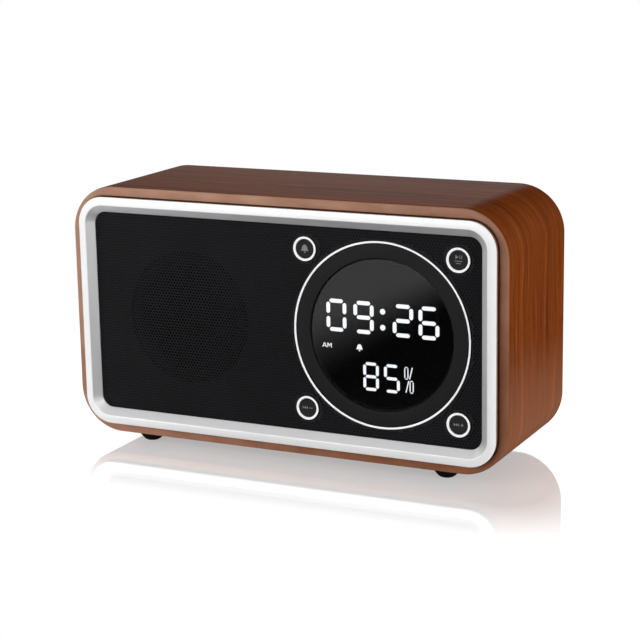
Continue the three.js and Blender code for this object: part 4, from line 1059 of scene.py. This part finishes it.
# Lit outlines about the middle of the display, as one piece
def addLit(name, outlines):
    front = maskFront - lit["thickness"]
    shapes = [raisedShape(outline + (displayX, displayHeight), front, maskFront) for outline in outlines]
    addPiece(name, joinedShapes(shapes), "case", litWhite)


litOutlines = []
for digits, group in (("0926", lit["time"]), ("85", lit["percent"])):
    for digit, x in zip(digits, group["places"]):
        litOutlines += digitOutlines(digit, x, group["height"], group["size"], group["stroke"])
litOutlines += [discOutline(x, height, lit["dotRadius"]) for x, height in lit["dots"]]
addLit("lit_digits", litOutlines)

# Small lit signs: morning mark, bell and percent sign
small = {
    "stroke": 0.24,
    "letterTall": 1.9,
    "letterWide": 1.7,
    "letters": ((-27.1, "A"), (-24.8, "M")),
    "letterHeight": -7.3,
    "bell": (-10.43, -6.2, 3.0),
    "percentStroke": 0.38,
    "percentCorner": 0.3,
    "zeroSize": (1.75, 5.2),
    "zeros": ((10.32, -14.98), (12.6, -20.58)),
    "slashes": (((11.7, -17.4), (12.95, -12.4)), ((10.1, -23.1), (11.35, -18.1))),
}
letterLines = {
    "A": (((0, 0), (0.46, 1)), ((0.54, 1), (1, 0)), ((0.27, 0.34), (0.73, 0.34))),
    "M": (((0, 0), (0, 1)), ((0.14, 0.94), (0.46, 0.3)), ((0.54, 0.3), (0.86, 0.94)), ((1, 0), (1, 1))),
}
zeroLines = (  # in shares of half a zero's width and height
    ((-1, 0.86), (-1, -0.86)), ((1, -0.86), (1, 0.86)), ((-0.8, -1), (0.8, -1)), ((-0.8, 1), (0.8, 1)),
)
smallOutlines = bellOutlines(*small["bell"])
for x, letter in small["letters"]:
    size = (small["letterWide"], small["letterTall"])
    smallOutlines += strokeOutlines(letterLines[letter], x, small["letterHeight"], *size, small["stroke"])
zeroHalf = (np.array(small["zeroSize"]) - small["percentStroke"]) / 2
percentEnds = (small["percentStroke"], small["percentCorner"])
for x, height in small["zeros"]:
    smallOutlines += strokeOutlines(zeroLines, x, height, *zeroHalf, *percentEnds)
smallOutlines += strokeOutlines(small["slashes"], 0, 0, 1, 1, *percentEnds)
addLit("lit_signs", smallOutlines)
print("display:", len(litOutlines) + len(smallOutlines), "lit shapes")

# Buttons: a white ring, and a cap with a shallow dish that rides on the button's own body
button = {
    "steps": 72,
    "ringWidth": 1.25,
    "ringRound": 0.35,
    "dishRadius": 2.95,
    "dishSlope": 0.25,
    "dishDepth": 0.14,
    "dishRound": 0.12,
    "capRound": 0.3,
    "fineRound": 0.1,
    "flangeWidth": 1.1,
    "flange": 0.7,
    "flangeBack": 5.35,
    "stemRadius": 1.5,
    "signThickness": 0.05,
    "signSink": 0.02,  # how far a sign reaches into the cap
    "signStroke": 0.26,
    "signScale": 2.3,
    "arrowRound": 0.05,
    "bellTall": 3.6,
}
signLines = {  # strokes in a box two units wide and two high, about its middle
    "top_left": (),
    "top_right": (((0.28, 0.2), (0.28, 0.85)), ((0.62, 0.2), (0.62, 0.85)), ((-0.7, -0.2), (0.7, -0.2)),
                  ((-0.45, -0.6), (0.45, -0.6))),
    "bottom_left": (((-0.95, -0.25), (-0.95, 0.25)), ((0.35, 0), (0.95, 0))),
    "bottom_right": (((0.02, -0.25), (0.02, 0.25)), ((0.35, 0), (0.95, 0)), ((0.65, -0.3), (0.65, 0.3))),
}
signArrows = {  # tip and back of each arrow head, and half its height
    "top_left": (),
    "top_right": (((0.05, 0.52), (-0.55, 0.52), 0.34),),
    "bottom_left": (((-0.8, 0), (-0.42, 0), 0.26), ((-0.36, 0), (0.02, 0), 0.26)),
    "bottom_right": (((-0.52, 0), (-0.9, 0), 0.26), ((-0.08, 0), (-0.46, 0), 0.26)),
}
for place in places:
    x, height, radius, front, back = roundPlace(f"button_ring_{place}")
    ring = ringProfile(radius - button["ringWidth"], radius, front, back, button["ringRound"])
    addPiece(f"white_ring_{place}", turnedShape(ring, button["steps"], x, height),
             "case", buttonWhite, [f"button_ring_{place}"])
    x, height, radius, front, back = roundPlace(f"button_cap_{place}")
    capRadius = radius - button["flangeWidth"]
    flangeFront = button["flangeBack"] - button["flange"]
    dish = front + button["dishDepth"]
    cap = rounded([
        (0, dish, 0),
        (button["dishRadius"], dish, button["dishRound"]),
        (button["dishRadius"] + button["dishSlope"], front, button["dishRound"]),
        (capRadius, front, button["capRound"]),
        (capRadius, flangeFront, button["fineRound"]),
        (radius, flangeFront, button["fineRound"]),
        (radius, button["flangeBack"], button["fineRound"]),
        (button["stemRadius"], button["flangeBack"], button["fineRound"]),
        (button["stemRadius"], back, button["fineRound"]),
        (0, back, 0),
    ], closed=False)
    addPiece(f"cap_{place}", turnedShape(cap, button["steps"], x, height),
             f"button_{place}", capGrey, [f"button_cap_{place}"])
    scale = button["signScale"]
    signs = strokeOutlines(signLines[place], x, height, scale, scale, button["signStroke"])
    for tip, base, rise in signArrows[place]:
        triangle = np.array([tip, (base[0], base[1] + rise), (base[0], base[1] - rise)])
        signs.append(softened(triangle, button["arrowRound"]) * scale + (x, height))
    if place == "top_left":
        signs += bellOutlines(x, height, button["bellTall"])
    signEnds = (dish - button["signThickness"], dish + button["signSink"])
    signShapes = [raisedShape(outline, *signEnds) for outline in signs]
    addPiece(f"sign_{place}", joinedShapes(signShapes), f"button_{place}", signGrey)
print("buttons:", len(places))

# Feet: turned rubber bowls with a stem in the case
foot = {
    "steps": 64,
    "baseRadius": 3.2,
    "baseRound": 1.8,
    "topRadius": 5.8,
    "topRound": 0.15,
    "bowlHeight": 3.4,  # where the bowl ends and the rim begins
    "bowlRound": 1.0,
    "height": 4.7,
    "stemRadius": 2,
    "stemRound": 0.3,
}
for place in footPlaces:
    low, high = sizeOf(f"foot_{place}")
    x, depth, _ = (low + high) / 2
    top = low[2] + foot["height"]
    profile = rounded([
        (0, low[2], 0),
        (foot["baseRadius"], low[2], foot["baseRound"]),
        (foot["topRadius"], low[2] + foot["bowlHeight"], foot["bowlRound"]),
        (foot["topRadius"], top, foot["topRound"]),
        (foot["stemRadius"], top, 0),
        (foot["stemRadius"], high[2], foot["stemRound"]),
        (0, high[2], 0),
    ], closed=False)
    shape = turnedShape(profile, foot["steps"])
    shape["points"] = shape["points"][:, [0, 2, 1]] + (x, depth, 0)  # its axis upright
    addPiece(f"pad_{place}", shape, "case", rubber, [f"foot_{place}"])
print("feet:", len(footPlaces))

# Rear screws: pan heads with a cross recess
rear = {
    "steps": 40,
    "shank": 1.3,
    "shankRound": 0.2,
    "head": 2.8,
    "rise": 1.5,
    "seatRound": 0.12,
    "rim": 0.5,
    "rimRound": 0.5,
    "crown": 1.736,
    "crownRound": 0.9,
    "crossWide": 0.62,
    "crossLong": 3.1,
    "crossDepth": 0.95,
    "cutterOver": 1,  # how far the recess's cutter stands out behind the head
}


# A cross with arms of one width, as the cutter of a screw's recess: the end of one arm, turned
# by a right angle three times
def crossOutline(x, height, long, wide):
    a, b = long / 2, wide / 2
    arms = [np.array([(a, -b), (a, b), (b, b)])]
    for _ in range(3):
        arms.append(np.stack([-arms[-1][:, 1], arms[-1][:, 0]], -1))
    return np.concatenate(arms) + (x, height)


for place in places:
    x, height, _, front, back = roundPlace(f"rear_screw_{place}")
    seat = back - rear["rise"]
    profile = rounded([
        (0, front, 0),
        (rear["shank"], front + rear["shank"], rear["shankRound"]),
        (rear["shank"], seat, 0),
        (rear["head"], seat, rear["seatRound"]),
        (rear["head"], seat + rear["rim"], rear["rimRound"]),
        (rear["crown"], back, rear["crownRound"]),
        (0, back, 0),
    ], closed=False)
    screw = addPiece(f"screw_rear_{place}", turnedShape(profile, rear["steps"], x, height),
                     "case", blackened, [f"rear_screw_{place}"])
    cross = crossOutline(x, height, rear["crossLong"], rear["crossWide"])
    cutter = raisedShape(cross, back - rear["crossDepth"], back + rear["cutterOver"])
    knife = addPiece("cutter", cutter, "case", blackened)
    cut = screw.modifiers.new("recess", "BOOLEAN")
    cut.object = knife
    cut.solver = "EXACT"
    bpy.context.view_layer.update()
    cutMesh = bpy.data.meshes.new_from_object(screw.evaluated_get(bpy.context.evaluated_depsgraph_get()))
    cutMesh.name = screw.name
    screw.modifiers.clear()
    screw.data = cutMesh
    bpy.data.objects.remove(knife)
print("rear screws:", len(places))

# Floor: pale and polished. To the camera it is white, with the clock's shadow and with a
# mirror image that fades out away from the clock. In the clock's own gloss it is pale to the
# left and right, and dark between them and behind the clock
white = (1, 1, 1, 1)
floorLook = {
    "half": 6,
    "colour": 0.8,
    "glow": 0.87,
    "footprint": (0.1, 0.035, 0),  # half the clock's width and depth
    "mirror": (0.014, 0.068, 0.54, 0),  # fades between two distances from the clock
    "mirrorWeights": (0.9, 1, 0),  # sideways distance counts a little less
    "plain": (0.05, 0.20),  # plain white takes over between these distances
    "paleLeft": (-0.155, -0.032),  # where the gloss goes from pale to dark on the left
    "paleRight": (0.060, 0.170),
    "darkBehind": (0.06, 0.24),
    "glossGlow": (0.005, 1),  # of the dark and of the pale
}


# A mix of two shaders
def mixShaders(tree, factor, first, second):
    return addNode(tree, "MixShader", {0: factor, 1: first, 2: second}).outputs["Shader"]


def makeFloorMaterial():
    look = floorLook
    material, tree, shader = startMaterial("pale floor", {
        "Base Color": opaque((look["colour"],) * 3), "Roughness": 0.6, "Specular IOR Level": 0,
        "Emission Color": white,
    })
    path = addNode(tree, "LightPath").outputs
    seen = mathOf(tree, "MAXIMUM", path["Is Camera Ray"], path["Is Transmission Ray"])
    setInputs(tree, shader, {"Emission Strength": mathOf(tree, "MULTIPLY", seen, look["glow"])})
    place = placeOf(tree)
    beside = vectorOf(tree, "SUBTRACT", vectorOf(tree, "ABSOLUTE", place), look["footprint"])
    outside = vectorOf(tree, "MAXIMUM", beside, (0, 0, 0))
    fading = vectorOf(tree, "LENGTH", vectorOf(tree, "MULTIPLY", outside, look["mirrorWeights"]))
    mirror = addNode(tree, "BsdfGlossy", {"Color": white, "Roughness": 0}).outputs["BSDF"]
    near = mixShaders(tree, rangeOf(tree, fading, *look["mirror"]), shader.outputs["BSDF"], mirror)
    away = rangeOf(tree, vectorOf(tree, "LENGTH", outside), *look["plain"], 0, 1)
    plain = addNode(tree, "Emission", {"Color": white}).outputs["Emission"]
    surface = mixShaders(tree, mathOf(tree, "MULTIPLY", away, seen), near, plain)
    parts = partsOf(tree, place)
    left = rangeOf(tree, parts["X"], *look["paleLeft"], 1, 0, smooth=True)
    right = rangeOf(tree, parts["X"], *look["paleRight"], 0, 1)
    ahead = rangeOf(tree, parts["Y"], *look["darkBehind"], 1, 0, smooth=True)
    pale = mathOf(tree, "MULTIPLY", mathOf(tree, "MAXIMUM", left, right), ahead)
    strength = rangeOf(tree, pale, 0, 1, *look["glossGlow"])
    inGloss = addNode(tree, "Emission", {"Color": white, "Strength": strength}).outputs["Emission"]
    both = mixShaders(tree, path["Is Glossy Ray"], surface, inGloss)
    setInputs(tree, tree.nodes["Material Output"], {"Surface": both})
    return material


half = floorLook["half"]
floorMesh = bpy.data.meshes.new("floor")
floorCorners = [(-half, -half, 0), (half, -half, 0), (half, half, 0), (-half, half, 0)]
floorMesh.from_pydata(floorCorners, [], [(0, 1, 2, 3)])
floorMesh.materials.append(makeFloorMaterial())
addObject("floor", floorMesh)

# World: a plain grey for soft light, and white where it is seen, also in the polished floor.
# In other gloss it is white at the horizon and overhead, with a darker belt between them and a
# bright window in front, and behind the clock the white covers only some directions
worldLook = {
    "light": 0.12,
    "belt": [(0.0, 1.0), (0.20, 1.0), (0.30, 0.10), (0.62, 0.12), (0.74, 0.7), (0.86, 1.0)],  # by height
    "behind": [(0.20, 0.45), (0.29, 1.0), (0.365, 1.0), (0.43, 0.08)],  # from far left to far right
    "behindFrom": (0, 0.3),
    "window": [(0.30, 0), (0.38, 1), (0.50, 1), (0.60, 0)],  # by height
    "windowFrom": (-0.3, 0),
    "windowPower": 3,
}


# A ramp from a value to greys, given as (place, tone) stops
def rampGreys(tree, factor, stops):
    return rampColours(tree, factor, [(place, (tone,) * 3) for place, tone in stops])


def makeWorld():
    look = worldLook
    world = bpy.data.worlds.new("studio")
    world.use_nodes = True
    tree = world.node_tree
    path = addNode(tree, "LightPath").outputs
    seen = path["Is Camera Ray"]
    for kind in ("Is Transmission Ray", "Is Singular Ray"):
        seen = mathOf(tree, "MAXIMUM", seen, path[kind])
    towards = partsOf(tree, placeOf(tree, "Generated"))
    belt = rampGreys(tree, towards["Z"], look["belt"])
    behind = rampGreys(tree, rangeOf(tree, towards["X"], -1, 1, 0, 1), look["behind"])
    isBehind = rangeOf(tree, towards["Y"], *look["behindFrom"], 0, 1)
    belt = mixColours(tree, isBehind, belt, mixColours(tree, 1, belt, behind, "MULTIPLY"))
    power = rangeOf(tree, towards["Y"], *look["windowFrom"], look["windowPower"], 0)
    window = vectorOf(tree, "MULTIPLY", rampGreys(tree, towards["Z"], look["window"]), power)
    gloss = vectorOf(tree, "ADD", belt, window)
    plain = mixColours(tree, path["Is Glossy Ray"], (look["light"],) * 3, gloss)
    shown = mixColours(tree, seen, plain, (1, 1, 1))
    setInputs(tree, tree.nodes["Background"], {"Color": shown})
    return world


bpy.context.scene.world = makeWorld()

# Soft lamps that light the clock but don't show in its gloss or through its lens: place, side
# and power in watts
lamps = {
    "key": {"place": (-0.90, -1.30, 0.40), "side": 1.2, "power": 21},
    "fill": {"place": (1.50, -0.30, 0.20), "side": 1.0, "power": 21.5},
    "back": {"place": (-0.50, 1.40, 0.25), "side": 1.0, "power": 12},
}
lampAim = np.array([0, 0, 0.06])
for name, lamp in lamps.items():
    data = bpy.data.lights.new(name, "AREA")
    data.shape = "SQUARE"
    data.size = lamp["side"]
    data.energy = lamp["power"]
    light = addObject(name, data)
    light.visible_glossy = False
    light.visible_transmission = False
    light.location = lamp["place"]
    across, along, up = lampAim - np.array(lamp["place"])
    tilt = math.atan2(math.hypot(across, along), -up)
    light.rotation_euler = (tilt, 0, math.atan2(across, -along) + math.pi)
print("stage: floor, world and", len(lamps), "lamps")

scene = bpy.context.scene
scene.view_settings.view_transform = "Standard"
